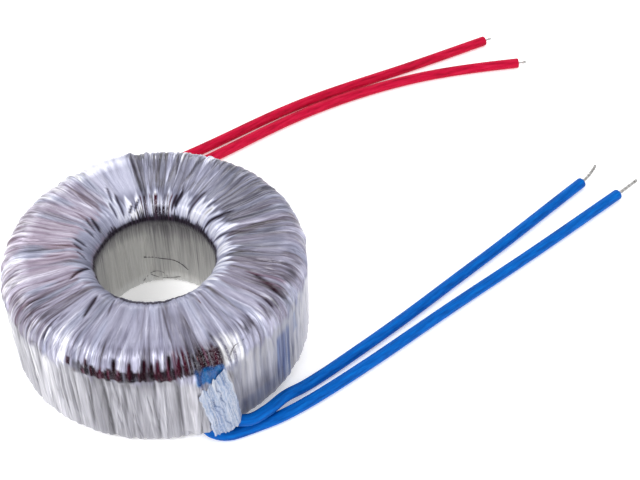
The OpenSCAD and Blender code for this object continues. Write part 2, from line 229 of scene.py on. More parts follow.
# Points that each lead passes, in millimetres; one with two numbers lies on the table.
ROUTES = {
    "blue_a": [(9.21, -31.11, 17.5), (9.21, -31.11, 8.5), (10.4, -31.15, 5.3), (14, -31.3, 4.1),
               (18, -29.4, 3.9), (22, -25.9, 2.8), (26.5, -23, 1.4), (32, -20), (38, -16.5), (44, -13),
               (50, -9.5), (56, -5.5), (62, -1.5), (68, 2.5), (75, 6.5), (81.5, 11), (88, 15.5),
               (94.5, 20), (101.5, 24.5)],
    "blue_b": [(5.36, -32, 17.5), (5.36, -32, 6), (6.8, -32.1, 2.7), (10.2, -32), (15, -31),
               (20.5, -29.5), (26.5, -27), (32.5, -24), (38.5, -21), (44.5, -17.5), (50.5, -14),
               (56.5, -10.5), (62.5, -7), (69, -3.5), (75.5, 0), (82, 3.5), (88.5, 7.5), (95, 11),
               (101.5, 15), (108.5, 19)],
    "red_a": [(-9.21, 31.11, 15.5), (-9.21, 31.11, 6.5), (-9.6, 32.6, 2.8), (-10.5, 36), (-9.5, 41),
              (-5.5, 45.5), (0.5, 48.5), (8, 51), (15, 53.5), (21.5, 57), (28, 60.5), (34.5, 63.5),
              (41.5, 66.5), (48.5, 69), (56, 71), (63.5, 73), (71, 75), (78.5, 77.5), (86, 80), (94, 82.5)],
    "red_b": [(-5.36, 32, 15.5), (-5.36, 32, 6.5), (-5.6, 33.6, 2.8), (-6, 37), (-3.5, 40.5),
              (1.5, 43.5), (7.5, 46), (13, 48.5), (18.5, 51), (24, 54), (30, 57), (36.5, 60.5),
              (43.5, 63.5), (51, 66), (58.5, 68), (66, 70), (73.5, 71), (81, 72), (90.5, 72), (100, 71.5)],
}
print(len(ROUTES), "routes")


# %% Lines along the routes
def eased(route, first=8, passes=3):
    """The route with its long straight run drawn taut, as stretched wire lies; the ends stay."""
    p = np.array([(*point, FLOOR_Z)[:3] for point in route], float)
    for _ in range(passes):
        p[first:-1] = 0.25 * p[first - 1:-2] + 0.5 * p[first:-1] + 0.25 * p[first + 1:]
    return p


def smooth_line(points, step=0.7):
    """A Catmull-Rom line through the points, resampled at about one step, in millimetres."""
    p = np.array(points, float)
    p = np.vstack([2 * p[0] - p[1], p, 2 * p[-1] - p[-2]])
    line = []
    for i in range(1, len(p) - 2):
        count = max(2, int(np.linalg.norm(p[i + 1] - p[i]) / step))
        for t in np.arange(count) / count:
            line.append(0.5 * (2 * p[i] + (p[i + 1] - p[i - 1]) * t
                               + (2 * p[i - 1] - 5 * p[i] + 4 * p[i + 1] - p[i + 2]) * t ** 2
                               + (3 * p[i] - p[i - 1] - 3 * p[i + 1] + p[i + 2]) * t ** 3))
    line.append(p[-2])
    line = np.array(line)
    line[:, 2] = np.maximum(line[:, 2], p[:, 2].min())
    return line


def run_of(line):
    """How far along a line each of its points lies."""
    return np.concatenate([[0], np.cumsum(np.linalg.norm(np.diff(line, axis=0), axis=1))])


def way_on(line, i=-1):
    """The unit vector in which a line runs as it comes to its point i."""
    return (line[i] - line[i - 1]) / np.linalg.norm(line[i] - line[i - 1])


LINES = {name: smooth_line(eased(route)) for name, route in ROUTES.items()}
for name, line in LINES.items():
    print(name, "length", round(float(run_of(line)[-1]), 1), "mm")

# %% [markdown]
# A tube needs two sideways directions at every point of its line. They are carried along
# from point to point, so that the rings don't twist against each other. At the cut end the
# rings step back and forth within a fraction of a millimetre, where a direction worked out
# from point to point would flip; there the directions come from a guide line instead.

# %% Tubes
def sideways_axes(line):
    """Two sideways unit vectors for each point of a line, carried along without twist."""
    tangent = np.gradient(line, axis=0)
    tangent /= np.linalg.norm(tangent, axis=1)[:, None]
    side = np.cross(tangent[0], (0.2, 0.9, 0.1))
    sides = []
    for t in tangent:
        side = side - np.dot(side, t) * t
        side /= np.linalg.norm(side)
        sides.append(side.copy())
    sides = np.array(sides)
    return sides, np.cross(tangent, sides)


def tube(line, radii, around=LEAD_SIDES, guide=None):
    """Points and faces of a closed tube; its rings face the way the guide, or the line, runs."""
    side, other = sideways_axes(line if guide is None else guide)
    angle = np.arange(around) * 2 * math.pi / around
    ring = np.cos(angle)[None, :, None] * side[:, None, :] + np.sin(angle)[None, :, None] * other[:, None, :]
    points = (line[:, None, :] + np.asarray(radii)[:, None, None] * ring).reshape(-1, 3)
    k = np.arange(around)
    faces = [(i * around + a, i * around + (a + 1) % around, (i + 1) * around + (a + 1) % around,
              (i + 1) * around + a) for i in range(len(line) - 1) for a in k]
    faces.append(tuple(k[::-1]))
    faces.append(tuple((len(line) - 1) * around + k))
    return points, faces


def guide_of(line, first, step=0.1):
    """The line with all its points from the one numbered first laid out straight ahead."""
    guide = line.copy()
    ahead = way_on(line, first - 1)
    for i in range(first, len(line)):
        guide[i] = guide[i - 1] + ahead * step
    return guide


print("tubes have", LEAD_SIDES, "sides")

# %% [markdown]
# The insulation is plasticised PVC, extruded over the strands and drawn through a cooling
# bath. That gives the eye a saturated colour, a soft gloss and very shallow waves along its
# length, with a little dust and rubbing. The UV map is in millimetres, so the waves are
# drawn out to about 6 mm along the lead.

# %% Extruded PVC
def extruded_pvc(name, base, deep, light, roughness):
    material, tree, shader = new_material(name)
    uv = add(tree, "TexCoord").outputs["UV"]
    along = add(tree, "Mapping", Vector=uv, Scale=(1.0, 0.12, 1.0))
    waves = add(tree, "TexNoise", Vector=along, Scale=1.4, Detail=3.0, Roughness=0.6)
    fine = add(tree, "TexNoise", Vector=uv, Scale=9.0, Detail=2.0)
    colour = add(tree, "ValToRGB", stops=[(0.3, deep), (0.5, base), (0.75, light)], Fac=waves)
    rough = add(tree, "MapRange", Value=fine, i1=0.3, i2=0.7, i3=roughness - 0.05, i4=roughness + 0.1)
    bump = add(tree, "Bump", Height=waves, Strength=0.35, Distance=0.00012)
    set_inputs(tree, shader, Base_Color=colour, Roughness=rough, Normal=bump, IOR=1.53,
               Specular_IOR_Level=0.06, Subsurface_Weight=0.02, Subsurface_Radius=(0.4, 0.4, 0.4),
               Subsurface_Scale=0.0008)
    return material


pvc = {"blue": extruded_pvc("blue_extruded_pvc", "#005AB2", "#004690", "#0470CA", 0.45),
       "red": extruded_pvc("red_extruded_pvc", "#BE0C36", "#980828", "#CE2046", 0.45)}
print("insulation in", ", ".join(pvc))

# %% [markdown]
# The bare ends are seven tinned strands, twisted together. On the blue leads they stand
# out 7 mm; on the red ones a short stub ends in a bead of solder. Tin is a soft grey metal
# with a satin surface, and the dips of solder leave it brighter in places.

# %% Tinned copper
def tinned_copper(name):
    material, tree, shader = new_material(name)
    place = add(tree, "TexCoord").outputs["Object"]
    blotch = add(tree, "TexNoise", Vector=place, Scale=1800.0, Detail=3.0)
    colour = add(tree, "ValToRGB", stops=[(0.3, "#8E8B88"), (0.6, "#C6C5C4"), (0.8, "#E6E5E3")], Fac=blotch)
    rough = add(tree, "MapRange", Value=blotch, i1=0.3, i2=0.7, i3=0.45, i4=0.25)
    bump = add(tree, "Bump", Height=blotch, Strength=0.3, Distance=0.00004)
    set_inputs(tree, shader, Base_Color=colour, Metallic=1.0, Roughness=rough, Normal=bump)
    return material


tin = tinned_copper("tinned_copper_strands")
print("bare ends in", tin.name)

# %% [markdown]
# A node tree twists the strands: it copies one straight strand, lays the copies on a circle
# that turns along the length, bends them all sideways and gives them their thickness. The
# strand that was copied stays in the middle.

# %% Node tree for twisted strands
twist, size, result = node_group("twisted_strands", [
    ("Length", "Float", 0.007), ("Strand radius", "Float", 0.0001), ("Lay radius", "Float", 0.0002),
    ("Turns", "Float", 1.5), ("Bend", "Float", 0.0), ("Strands", "Int", 6)])
tip = add(twist, "CombineXYZ", Z=size["Length"])
axis = add(twist, "GeometryNodeCurvePrimitiveLine", End=tip)
axis = add(twist, "GeometryNodeResampleCurve", Curve=axis, Count=40)
copies = add(twist, "GeometryNodeDuplicateElements", {"domain": "SPLINE"}, Geometry=axis,
             Amount=size["Strands"])
place = add(twist, "GeometryNodeSplineParameter").outputs["Factor"]
share = add(twist, "Math DIVIDE", i0=copies.outputs[1], i1=size["Strands"])
turns_made = add(twist, "Math MULTIPLY", i0=place, i1=size["Turns"])
turns_made = add(twist, "Math ADD", i0=share, i1=turns_made)
turned = add(twist, "Math MULTIPLY", i0=turns_made, i1=2 * math.pi)
lay = [add(twist, "Math MULTIPLY", i0=add(twist, "Math " + wave, i0=turned), i1=size["Lay radius"])
       for wave in ("COSINE", "SINE")]
lay = add(twist, "CombineXYZ", X=lay[0], Y=lay[1])
laid = add(twist, "GeometryNodeSetPosition", Geometry=copies, Offset=lay)
both = add(twist, "GeometryNodeJoinGeometry")
for part in (axis, laid):
    twist.links.new(part.outputs[0], both.inputs[0])
leaning = add(twist, "Math POWER", i0=place, i1=2.0)
leaning = add(twist, "Math MULTIPLY", i0=leaning, i1=size["Bend"])
bent = add(twist, "GeometryNodeSetPosition", Geometry=both, Offset=add(twist, "CombineXYZ", X=leaning))
ring = add(twist, "GeometryNodeCurvePrimitiveCircle", Resolution=10, Radius=size["Strand radius"])
solid = add(twist, "GeometryNodeCurveToMesh", Curve=bent, i1=ring, Fill_Caps=True)
finish_group(twist, solid, tin, result)
print(twist.name, len(twist.nodes), "nodes")


# %% Shapes of the ends
def strands(name, start, ahead, length, bundle_d, turns, bend):
    """Seven twisted strands from a point, as one piece; bend is to the left of their way."""
    piece = new_piece(name, [], [], tin)
    grow(piece, twist, {"Length": length * MM, "Strand radius": bundle_d / 6 * MM, "Turns": turns,
                        "Lay radius": bundle_d / 3 * MM, "Bend": bend * MM, "Strands": 6})
    ahead = Vector(ahead).normalized()
    left = Vector((0, 0, 1)).cross(ahead).normalized()
    place = Matrix((left, ahead.cross(left), ahead)).transposed().to_4x4()
    piece.data.transform(Matrix.Translation(Vector(start) * MM) @ place)
    return piece


# The cut end: radius of its rounded rim, and radius and depth of its bore
END_RIM, BORE, BORE_DEPTH = 0.18, 0.62, 0.9
# Its profile, from the tube's side over its rim and face into the bore: place ahead, and radius
END_PROFILE = [(-END_RIM, LEAD_D / 2), (-END_RIM / 4, LEAD_D / 2 - END_RIM / 5),
               (0.0, LEAD_D / 2 - END_RIM), (-0.06, (LEAD_D / 2 + BORE) / 2), (-0.02, BORE + 0.08),
               (-0.25, BORE), (-BORE_DEPTH, BORE * 0.9)]


def with_cut_end(line):
    """The line of a lead and its radii, with the points of the cut end added."""
    ahead, (reach, wide) = way_on(line), np.array(END_PROFILE).T
    return (np.vstack([line[:-1], line[-1] + np.outer(reach, ahead)]),
            np.concatenate([np.full(len(line) - 1, LEAD_D / 2), wide]))


# Each bare end: diameter, length, turns of its strands, and how far its tip leans to the left.
BARE = {"blue_a": (0.8, 7.0, 1.6, 1.3), "blue_b": (0.8, 7.0, 1.4, 0.2),
        "red_a": (0.36, 2.2, 0.6, 0.0), "red_b": (0.36, 2.2, 0.5, 0.0)}
# How far the strands reach back into the insulation
BARE_INSIDE = 0.8
# The bead on a red lead's stub: place ahead of the cut end, and radius
BEAD = [(1.15, 0.1), (1.2, 0.22), (1.4, 0.31), (1.65, 0.35), (1.9, 0.33), (2.1, 0.22), (2.19, 0.08)]
BEAD_SIDES = 16
print("bare ends of", ", ".join(BARE))

# %% Build the leads and their bare ends
for name, line in LINES.items():
    colour = name.split("_")[0]
    ahead = way_on(line)
    profile, radii = with_cut_end(line)
    points, faces = tube(profile, radii, guide=guide_of(profile, len(line) - 1))
    piece = new_piece("insulation_" + name, points * MM, faces, pvc[colour])
    around = np.tile(np.arange(LEAD_SIDES) / LEAD_SIDES * math.pi * LEAD_D, len(profile))
    set_uv(piece, np.column_stack([around, np.repeat(run_of(profile), LEAD_SIDES)]))
    end_d, end_len, turns, bend = BARE[name]
    bare = strands("bare_strands_" + name, line[-1] - BARE_INSIDE * ahead, ahead, end_len + BARE_INSIDE,
                   end_d, turns, bend)
    if colour == "red":
        reach, wide = np.array(BEAD).T
        points, bead_faces = tube(line[-1] + np.outer(reach, ahead), wide, BEAD_SIDES)
        bead = new_piece("solder_bead_" + name, points * MM, bead_faces, tin)
        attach(bead, "root")
    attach(bare, "root")
    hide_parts("lead_end_" + name)
    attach(piece, "root")
    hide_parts("lead_" + name)

# %% [markdown]
# ## The film wrap
# Clear polyester tape is wound through the hole and round the ring, lap over lap. It can't
# follow a ring smoothly: it has more room on the outside than in the hole, so it gathers
# in fine pleats that fan out from the hole, and it lies over the turns of wire like a
# tight skin. The many layers with air between them look silvery, and dark red copper shows
# where they lie close or part. The skin is one closed sheet: a grid that runs round the
# axis one way and round the ring's section the other way, moved in and out along its
# normals by turns, laps and wrinkles. The same numbers give every point its tone, with the
# light and shade painted into it, and how far one sees through it, so that painted light and
# shape agree.

# %% Sizes of the ring
OUTER_R, HOLE_R, HEIGHT = 31.0, 12.0, 25.0
# Radii of its rounded edges: the outer shoulder, the rim of the hole, and both edges below
EDGE_OUT, EDGE_IN, EDGE_BASE = 5.0, 6.0, 2.5
# Turns of wire on the outside, and the angles at which the blue and the red leads come out
TURNS, LEAD_ANGLE = 103, -77.0
TURN_STEP = 360 / TURNS
RED_ANGLE = LEAD_ANGLE + (math.floor(180 / TURN_STEP) + 0.5) * TURN_STEP
# Points of the grid round the axis and along the section
AROUND, ALONG = 1030, 96
print("ring", 2 * OUTER_R, "by", HEIGHT, "mm, with a turn every", round(TURN_STEP, 2), "degrees")


# %% Section of the ring
def section_points(count):
    """Points round the ring's section with outward normals: (r, z, nr, nz), and their run in mm.

    They lie closer on the hole's rim and on the outer shoulder, where the film shows most."""
    def arc(cr, cz, radius, a0, a1):
        a = np.radians(np.linspace(a0, a1, 48))
        return np.column_stack([cr + radius * np.cos(a), cz + radius * np.sin(a), np.cos(a), np.sin(a)])
    path = np.vstack([arc(HOLE_R + EDGE_BASE, EDGE_BASE, EDGE_BASE, -90, -180),
                      arc(HOLE_R + EDGE_IN, HEIGHT - EDGE_IN, EDGE_IN, 180, 90),
                      arc(OUTER_R - EDGE_OUT, HEIGHT - EDGE_OUT, EDGE_OUT, 90, 0),
                      arc(OUTER_R - EDGE_BASE, EDGE_BASE, EDGE_BASE, 0, -90)])
    path = np.vstack([path, path[:1]])
    run = run_of(path[:, :2])
    even = np.linspace(0, run[-1], 2000)
    weight = np.interp(even, [0, 3, 18, 21, 29, 32, 39, 41, 53, 56, 66, 68, 81],
                       [1, 0.7, 0.7, 2, 2, 1, 1, 2, 2, 1, 1, 0.35, 0.35])
    share = np.cumsum(weight) / weight.sum()
    s = np.interp(np.arange(count) / count, np.concatenate([[0], share]), np.concatenate([[0], even]))
    out = np.column_stack([np.interp(s, run, path[:, k]) for k in range(4)])
    out[:, 2:] /= np.linalg.norm(out[:, 2:], axis=1)[:, None]
    return out, s, float(run[-1])


SECTION, S_RUN, S_ALL = section_points(ALONG)
R0, Z0, NR, NZ = (SECTION[:, k][None, :] for k in range(4))
S = S_RUN[None, :]
AZ = ((np.arange(AROUND) * 360 / AROUND + 180) % 360 - 180)[:, None]
ARC_MM = math.pi / 180 * R0
print("section", round(S_ALL, 1), "mm long; grid", AROUND, "by", ALONG)

# %% [markdown]
# The run along the section is written S. It starts under the ring, at the foot of the hole,
# and in millimetres the wall of the hole reaches to 20, its rim to 30, the flat top to 38,
# the outer shoulder to 46 and the outer wall to 63. With the angle round the axis it names
# any place on the film. Every feature is a field on the grid, from 0 to 1 with soft edges.

# %% Soft-edged fields on the grid
def window(x, low, high, soft):
    """1 between low and high, falling to 0 over a soft edge."""
    def step(v):
        v = np.clip(v, 0, 1)
        return v * v * (3 - 2 * v)
    return step((x - low) / soft + 1) * step((high - x) / soft + 1)


def angle_from(centre):
    """Degrees round the axis from a direction, or from a field of them, from -180 to 180."""
    return (AZ - centre + 180) % 360 - 180


def facing(centre, half, soft):
    """1 within half degrees of a direction round the axis, and 0 past a soft edge."""
    return window(np.abs(angle_from(centre)), -1, half, soft)


def by_angle(*stops):
    """A value that changes round the ring, from (angle, value) stops."""
    angle, value = np.array(stops).T
    return np.interp(AZ, angle, value, period=360)


def patch(a0, a1, s0, s1, soft_a=1.5, soft_s=0.8):
    """1 between two angles and two places along the section, and 0 outside a soft edge."""
    return facing((a0 + a1) / 2, (a1 - a0) / 2, soft_a) * window(SEEN, s0, s1, soft_s)


def stroke(angle0, run0, angle1, run1, width):
    """1 along a slanting line over the film that tapers to both ends; width in mm."""
    t = (SEEN - run0) / (run1 - run0)
    across = angle_from(angle0 + (angle1 - angle0) * t) * ARC_MM
    taper = window(t, 0.35, 0.65, 0.4)
    return np.exp(-(across / (width * (0.35 + 0.75 * taper))) ** 2) * np.minimum(1, 2 * taper)


def broken(field, gain, less):
    """A field of noise sharpened into separate blots, from 0 to 1."""
    return np.clip(gain * field - less, 0, 1)


outside = window(S, 38, 66, 5.0)
hole = window(S, -1, 21.0, 1.5)
print("the hole takes", round(100 * float(hole.mean())), "% of the grid")

# %% [markdown]
# Where the leads are joined to the winding, two splices lie under the film on either side,
# and the skin stands out over each pair by about 3 mm.

# %% The swellings over the splices
SWELL, SWELL_TOP = 2.35, 0.85
SWELL_HALF, SWELL_SOFT = 6.0, 7.0


def swelling(height):
    """How far the film stands out over a pair of splices, in mm, at a height up the wall."""
    return SWELL + SWELL_TOP * window(height, -10, 18.0, 2.0)


blue_side, red_side = (facing(centre, SWELL_HALF, SWELL_SOFT) for centre in (LEAD_ANGLE, RED_ANGLE))
bulge = (blue_side + red_side) * swelling(Z0) * window(Z0, 5.0, 40, 1.8) * window(R0, 27.4, 40, 1.4)
bulge = bulge * (1 - 0.7 * red_side * window(Z0, 22.5, 40, 2.5))
# Features are placed by where they show on a plain ring; on a swelling they show lower.
SEEN = S + 1.25 * bulge
print("the film swells by up to", round(float(bulge.max()), 2), "mm")


# %% Seeded noise that repeats round the ring
def smooth_noise(knots_around, knots_along, seed):
    """Noise from 0 to 1 on the grid: fine round the axis, slow along the section."""
    values = np.random.default_rng(seed).random((knots_around, knots_along))
    a = np.arange(AROUND) / AROUND * knots_around
    i = a.astype(int)
    t = (a - i)[:, None]
    t = t * t * (3 - 2 * t)
    rows = values[i % knots_around] * (1 - t) + values[(i + 1) % knots_around] * t
    b = S_RUN / S_ALL * knots_along
    j = b.astype(int)
    u = (b - j)[None, :]
    u = u * u * (3 - 2 * u)
    return rows[:, j % knots_along] * (1 - u) + rows[:, (j + 1) % knots_along] * u


def skewed(field, degrees):
    """Slides a field round the axis by an amount that changes along the section."""
    shift = np.asarray(degrees) / 360 * AROUND
    index = np.arange(AROUND)[:, None] + shift[None, :]
    low = np.floor(index).astype(int)
    t = index - low
    cols = np.arange(ALONG)[None, :]
    return field[low % AROUND, cols] * (1 - t) + field[(low + 1) % AROUND, cols] * t


# Each noise: knots round the axis and along the section, seed, and lean in degrees
sway = np.sin(S_RUN / S_ALL * 2 * math.pi)
ridged = [1 - np.abs(2 * skewed(smooth_noise(n, m, seed), k * sway) - 1)
          for n, m, seed, k in ((103, 7, 1, 2.0), (206, 9, 2, -1.5), (412, 11, 3, 1.0))]
fine = [skewed(smooth_noise(n, m, seed), k * sway)
        for n, m, seed, k in ((103, 9, 11, 2.0), (206, 10, 12, -1.0), (343, 12, 13, 1.0), (515, 14, 14, 0.5))]
# 1 on the crown of each turn of wire; and the outer wall, from a ragged edge on the shoulder
turn = 0.5 + 0.5 * np.cos((AZ - LEAD_ANGLE) * TURNS * math.pi / 180)
wall = window(S + 2.4 * (fine[1] - 0.5) + 1.6 * (fine[2] - 0.5), 47.5, 80, 2.2)
print("noise in", len(ridged) + len(fine), "fields, and", TURNS, "turns of wire")

# %% [markdown]
# The film's relief has four sources beside its swellings. Turns of wire press through on the
# outside. Laps of tape end in edges that show as fine lines. Tape that is gathered lies in
# pleats, wedges one over the other, and in creases, short grooves with one lit and one
# shaded flank. Noise fills in the rest.

# %% Panels: the laps of tape
PANELS = 78
rng = np.random.default_rng(41)
panel = np.zeros((AROUND, ALONG), int)
edge = np.full((AROUND, ALONG), 99.0)
for place, lean in zip(np.sort(rng.uniform(-177, 177, PANELS)), rng.normal(0, 1.3, PANELS)):
    off = AZ - place - lean * np.sin((S - 34) / 24)
    panel += off > 0
    gap = off * ARC_MM
    edge = np.where(np.abs(gap) < np.abs(edge), gap, edge)
panel_tone = rng.random(PANELS)[panel % PANELS] - 0.5
hairline = np.exp(-(edge / 0.24) ** 2)
# A painted highlight just beside the edge of each lap
painted_lap_highlight = np.exp(-((edge - 0.42) / 0.26) ** 2)
print(PANELS, "panels")


# %% Pleats
def pleats(count, seed, start, reach, wide):
    """Wedges of gathered film laid one over the other: their tone and the painted light and shade on their
    edges.
    """
    draw = np.random.default_rng(seed)
    shade, edges = np.zeros((AROUND, ALONG)), np.zeros((AROUND, ALONG))
    for _ in range(count):
        centre, lean, first = draw.uniform(-180, 180), draw.normal(0, 1.6), draw.uniform(*start)
        length, half, level = draw.uniform(*reach), draw.uniform(*wide) / 2, draw.normal(0, 0.5)
        slope, outward = draw.uniform(-0.5, 0.5), draw.random() < 0.6
        near = np.abs(angle_from(centre)[:, 0]) < 16
        t = (S - first) / length
        half = half * np.clip(t if outward else 1 - t, 0, 1)
        across = (angle_from(centre)[near] - lean * t) * ARC_MM
        ends = window(t, 0.12, 0.8, 0.2)
        cover = np.clip((half - np.abs(across)) / 0.1 + 0.5, 0, 1) * ends
        within = np.clip(across / np.maximum(half, 0.05), -1, 1)
        shade[near] = shade[near] * (1 - cover) + cover * (level + slope * within)
        line = (np.exp(-((across + half) / 0.12) ** 2) - np.exp(-((across - half) / 0.12) ** 2)) * ends
        edges[near] = edges[near] * (1 - cover) + line * (0.5 + abs(level))
    return shade, edges


pleat, pleat_edge = pleats(520, 21, (20.0, 38.0), (9.0, 24.0), (0.7, 3.0))
wall_pleat, wall_edge = pleats(260, 22, (40.0, 54.0), (8.0, 22.0), (0.5, 2.0))
pleat = pleat * (1 - wall) + 0.6 * wall_pleat * wall
pleat_edge = pleat_edge * (1 - wall) + 0.7 * wall_edge * wall
print("pleats from", round(float(pleat.min()), 2), "to", round(float(pleat.max()), 2))


# %% Creases
def creases(count, seed, low, high, widths, lean_by):
    """The depth of a set of creases that fan out from the hole, and the painted light and shade on their
    flanks.
    """
    draw = np.random.default_rng(seed)
    groove, light = np.zeros((AROUND, ALONG)), np.zeros((AROUND, ALONG))
    for _ in range(count):
        centre, lean, middle = draw.uniform(-180, 180), draw.normal(0, lean_by), draw.uniform(low, high)
        width, reach, depth = draw.uniform(*widths), draw.uniform(2.5, 7.0), draw.uniform(0.35, 1.0)
        across = angle_from(centre + lean * (S - middle) / 10) * ARC_MM / width
        shape = depth * np.exp(-across ** 2 - ((S - middle) / reach) ** 2)
        groove += shape
        light += across * shape
    return groove, light


groove, light = (sum(fields) for fields in zip(
    creases(240, 5, 23.0, 47.0, (0.25, 0.6), 2.2),
    creases(36, 6, 23.5, 30.0, (0.22, 0.45), 6.0),
    creases(60, 8, 46.0, 62.0, (0.3, 0.8), 1.0)))

# The deepest creases, each from one angle and run to another: width in mm, and strength
CREASES = [(27.5, 22.5, 21, 31, 0.42, 1.0), (8.5, 22.5, 1, 31, 0.36, 0.8), (50.5, 23, 47, 31, 0.34, 0.8),
           (38, 26.5, 36.5, 30, 0.3, 0.7), (53, 25, 51.5, 29, 0.3, 0.5), (64.5, 24, 62.5, 29, 0.4, 1.0),
           (67.5, 23.5, 66, 28, 0.34, 0.9), (114, 23.5, 111, 30, 0.34, 0.8),
           (116.5, 27.5, 112, 33, 0.26, 0.7), (103, 24.2, 96, 26.6, 0.36, 0.9),
           (109, 23.8, 102, 26, 0.34, 0.9), (121, 24, 118, 28.5, 0.28, 0.7), (144, 24, 137, 28, 0.4, 1.0),
           (147, 25, 140, 28.6, 0.3, 0.8), (153, 24.5, 149, 27.5, 0.28, 0.7),
           (165, 25, 161, 28.6, 0.32, 0.8), (170, 25.5, 166, 28.4, 0.32, 0.8),
           (179, 24.5, 172, 27.5, 0.28, 0.7), (187, 23.5, 201, 30.5, 0.42, 1.0),
           (224, 28, 228.5, 35, 0.4, 0.9), (218.5, 36.5, 220, 43, 0.28, 0.7),
           (236, 27, 238.5, 32, 0.28, 0.6), (-31, 32.5, -38, 41, 0.5, 0.9),
           (-43, 38.2, -43.6, 41.8, 0.34, 0.8), (-37.3, 38.5, -36.8, 42.5, 0.4, 0.9),
           (-47, 38.2, -47.6, 41.5, 0.28, 0.6), (-54.5, 38.2, -55, 42, 0.28, 0.6),
           (71, 32.5, 73, 39.5, 0.28, 0.5), (92.6, 26.5, 95, 41, 0.36, 0.8),
           (130, 29, 128, 35, 0.24, 0.4), (-90, 28, -88, 39, 0.26, 0.5), (-150, 36, -152, 42, 0.28, 0.6),
           (-72, 39, -74.5, 43, 0.4, 0.8)]
# Degrees from a crease to the painted highlight on the film beside it
BESIDE = 1.1
deepest, beside = (sum(strength * stroke(a0 + aside, s0, a1 + aside, s1, width)
                       for a0, s0, a1, s1, width, strength in CREASES) for aside in (0, BESIDE))
print(len(CREASES), "deep creases")

# %% Relief of the film
smooth_lap = facing(106.5, 9.0, 2.0) * window(S, 28, 60, 3.0)
flat_wall = patch(-66, -42, 47, 72, 4.0, 2.5)
light = light * (1 - 0.9 * smooth_lap)
rise = (-0.20 + 0.18 * turn * (0.15 + 0.85 * outside)
        + 0.34 * (ridged[1] - 0.35) * window(S, 36, 45, 3.0)
        + 0.22 * (ridged[0] - 0.5) * (0.3 + 0.7 * outside)
        + 0.13 * (ridged[1] - 0.5) * (0.5 + 0.5 * outside) + 0.06 * (ridged[2] - 0.5)
        + 0.10 * panel_tone - 0.10 * hairline - 0.22 * np.clip(groove, 0, 1.2)
        + 0.08 * pleat + 0.05 * pleat_edge - 0.22 * np.clip(deepest, 0, 1)
        + 0.18 * (fine[1] - 0.5) * window(S, 58, 70, 3.0))
rise = rise * (1 - 0.8 * smooth_lap) - 0.12 * smooth_lap
rise = rise * (1 - 0.55 * flat_wall) * (1 - 0.35 * window(S, 22, 28, 2.0))
# From here on the film lies flat under the ring
BASE_RUN = 66.5
rise = np.clip(np.where(S > BASE_RUN, -0.05, rise), -0.36, 0.42)
rise = rise + 0.75 * window(S, 22.0, 25.0, 2.6) * facing(85, 62, 25)
print("film rise from", round(float(rise.min()), 2), "to", round(float(rise.max()), 2), "mm")

# %% The closed sheet
phi = np.radians(AZ)
film_r = R0 + NR * rise + bulge
film_z = np.maximum(Z0 + NZ * rise, 0.02)


def around_axis(radius, height):
    """Points, or vectors, on the grid from their distance from the axis and their height."""
    parts = np.broadcast_arrays(radius * np.cos(phi), radius * np.sin(phi), height)
    return np.stack(parts, axis=2).reshape(-1, 3)


points, normals = around_axis(film_r, film_z), around_axis(NR, NZ)
a, b = np.meshgrid(np.arange(AROUND), np.arange(ALONG), indexing="ij")
a1, b1 = (a + 1) % AROUND, (b + 1) % ALONG
quads = np.stack([a * ALONG + b, a * ALONG + b1, a1 * ALONG + b1, a1 * ALONG + b], axis=2).reshape(-1, 4)
print("film sheet", len(points), "points")

# %% [markdown]
# The colour of the film is worked out with its shape, from one number for its tone, and light
# and shade are painted into it: pleats that stand proud get painted highlights, grooves get
# painted shade, the edges of laps show as dark lines with a painted highlight beside them, and
# each lap is a little lighter or darker than the next. A palette turns the tone into a colour: cold
# lilac greys on top, warmer and paler ones on the outer wall, olive greys inside the hole,
# dark red where the wire shows through, and blue over the splices.

# %% How light and how busy the film is, round the ring
# The mean tone of the top, and that of the wall, in which light and shade are painted: the wall
# brighter or darker round the ring as the lamps light it, and shaded at its foot on the front
# right; and how much the film's marks stand out from it
level = by_angle((-180, 0.58), (-150, 0.59), (-130, 0.62), (-105, 0.60), (-75, 0.65), (-50, 0.58),
                 (-30, 0.46), (0, 0.43), (30, 0.44), (45, 0.48), (75, 0.47), (92, 0.50), (97, 0.62),
                 (118, 0.63), (150, 0.60))
wall_painted_light = by_angle((-180, 0.70), (-150, 0.58), (-128, 0.46), (-110, 0.30), (-85, 0.28), (-70, 0.46),
                      (-62, 0.52), (-45, 0.38), (-30, 0.50), (-15, 0.76), (90, 0.7))
level = level * (1 - wall) + wall * (wall_painted_light - 0.12 * patch(-70, -36, 58, 66, 3, 4))
busy = by_angle((-180, 0.75), (-120, 0.7), (-80, 0.65), (-55, 0.6), (-10, 0.5), (40, 0.65), (62, 1.0),
                (94, 1.1), (98, 0.5), (115, 0.5), (120, 0.65), (150, 0.6)) * (1 - 0.94 * smooth_lap)
busy = busy * (0.52 - 0.24 * window(S, 22, 27.5, 1.5) + 0.55 * window(S, 39, 47, 2.5)
               + 0.15 * window(S, 22, 27, 1.5) * facing(80, 12, 8))
wall_busy = by_angle((-180, 0.8), (-72, 0.9), (-66, 0.3), (-40, 0.25), (-12, 0.35), (0, 0.8), (180, 0.8))
busy = busy * (1 - wall) + wall * wall_busy
calm = facing(-85, 38, 16) * window(S, 24, 38, 2.5)
print("level from", round(float(level.min()), 2), "to", round(float(level.max()), 2))

# %% Tone from the relief
noise = 0.30 * (fine[1] - 0.5) + 0.30 * (fine[2] - 0.5) + 0.22 * (fine[3] - 0.5) + 0.18 * (ridged[0] - 0.5)
# The laps' own tones and the dark lines of their edges, with the painted highlight beside each edge
from_laps = (0.3 + 0.2 * wall) * panel_tone - 0.26 * hairline * (fine[0] > 0.35) + 0.18 * painted_lap_highlight
# Painted light and shade on the edges of the pleats
from_pleats = 0.38 * pleat + 0.34 * pleat_edge
# Painted light and shade on the flanks of the creases, and painted shade in their grooves
tone = (level + busy * (0.55 * noise * (1 - 0.2 * wall) + from_laps + from_pleats) * (1 - 0.65 * calm)
        + 0.36 * light * (0.5 + 0.5 * busy) - 0.16 * groove)
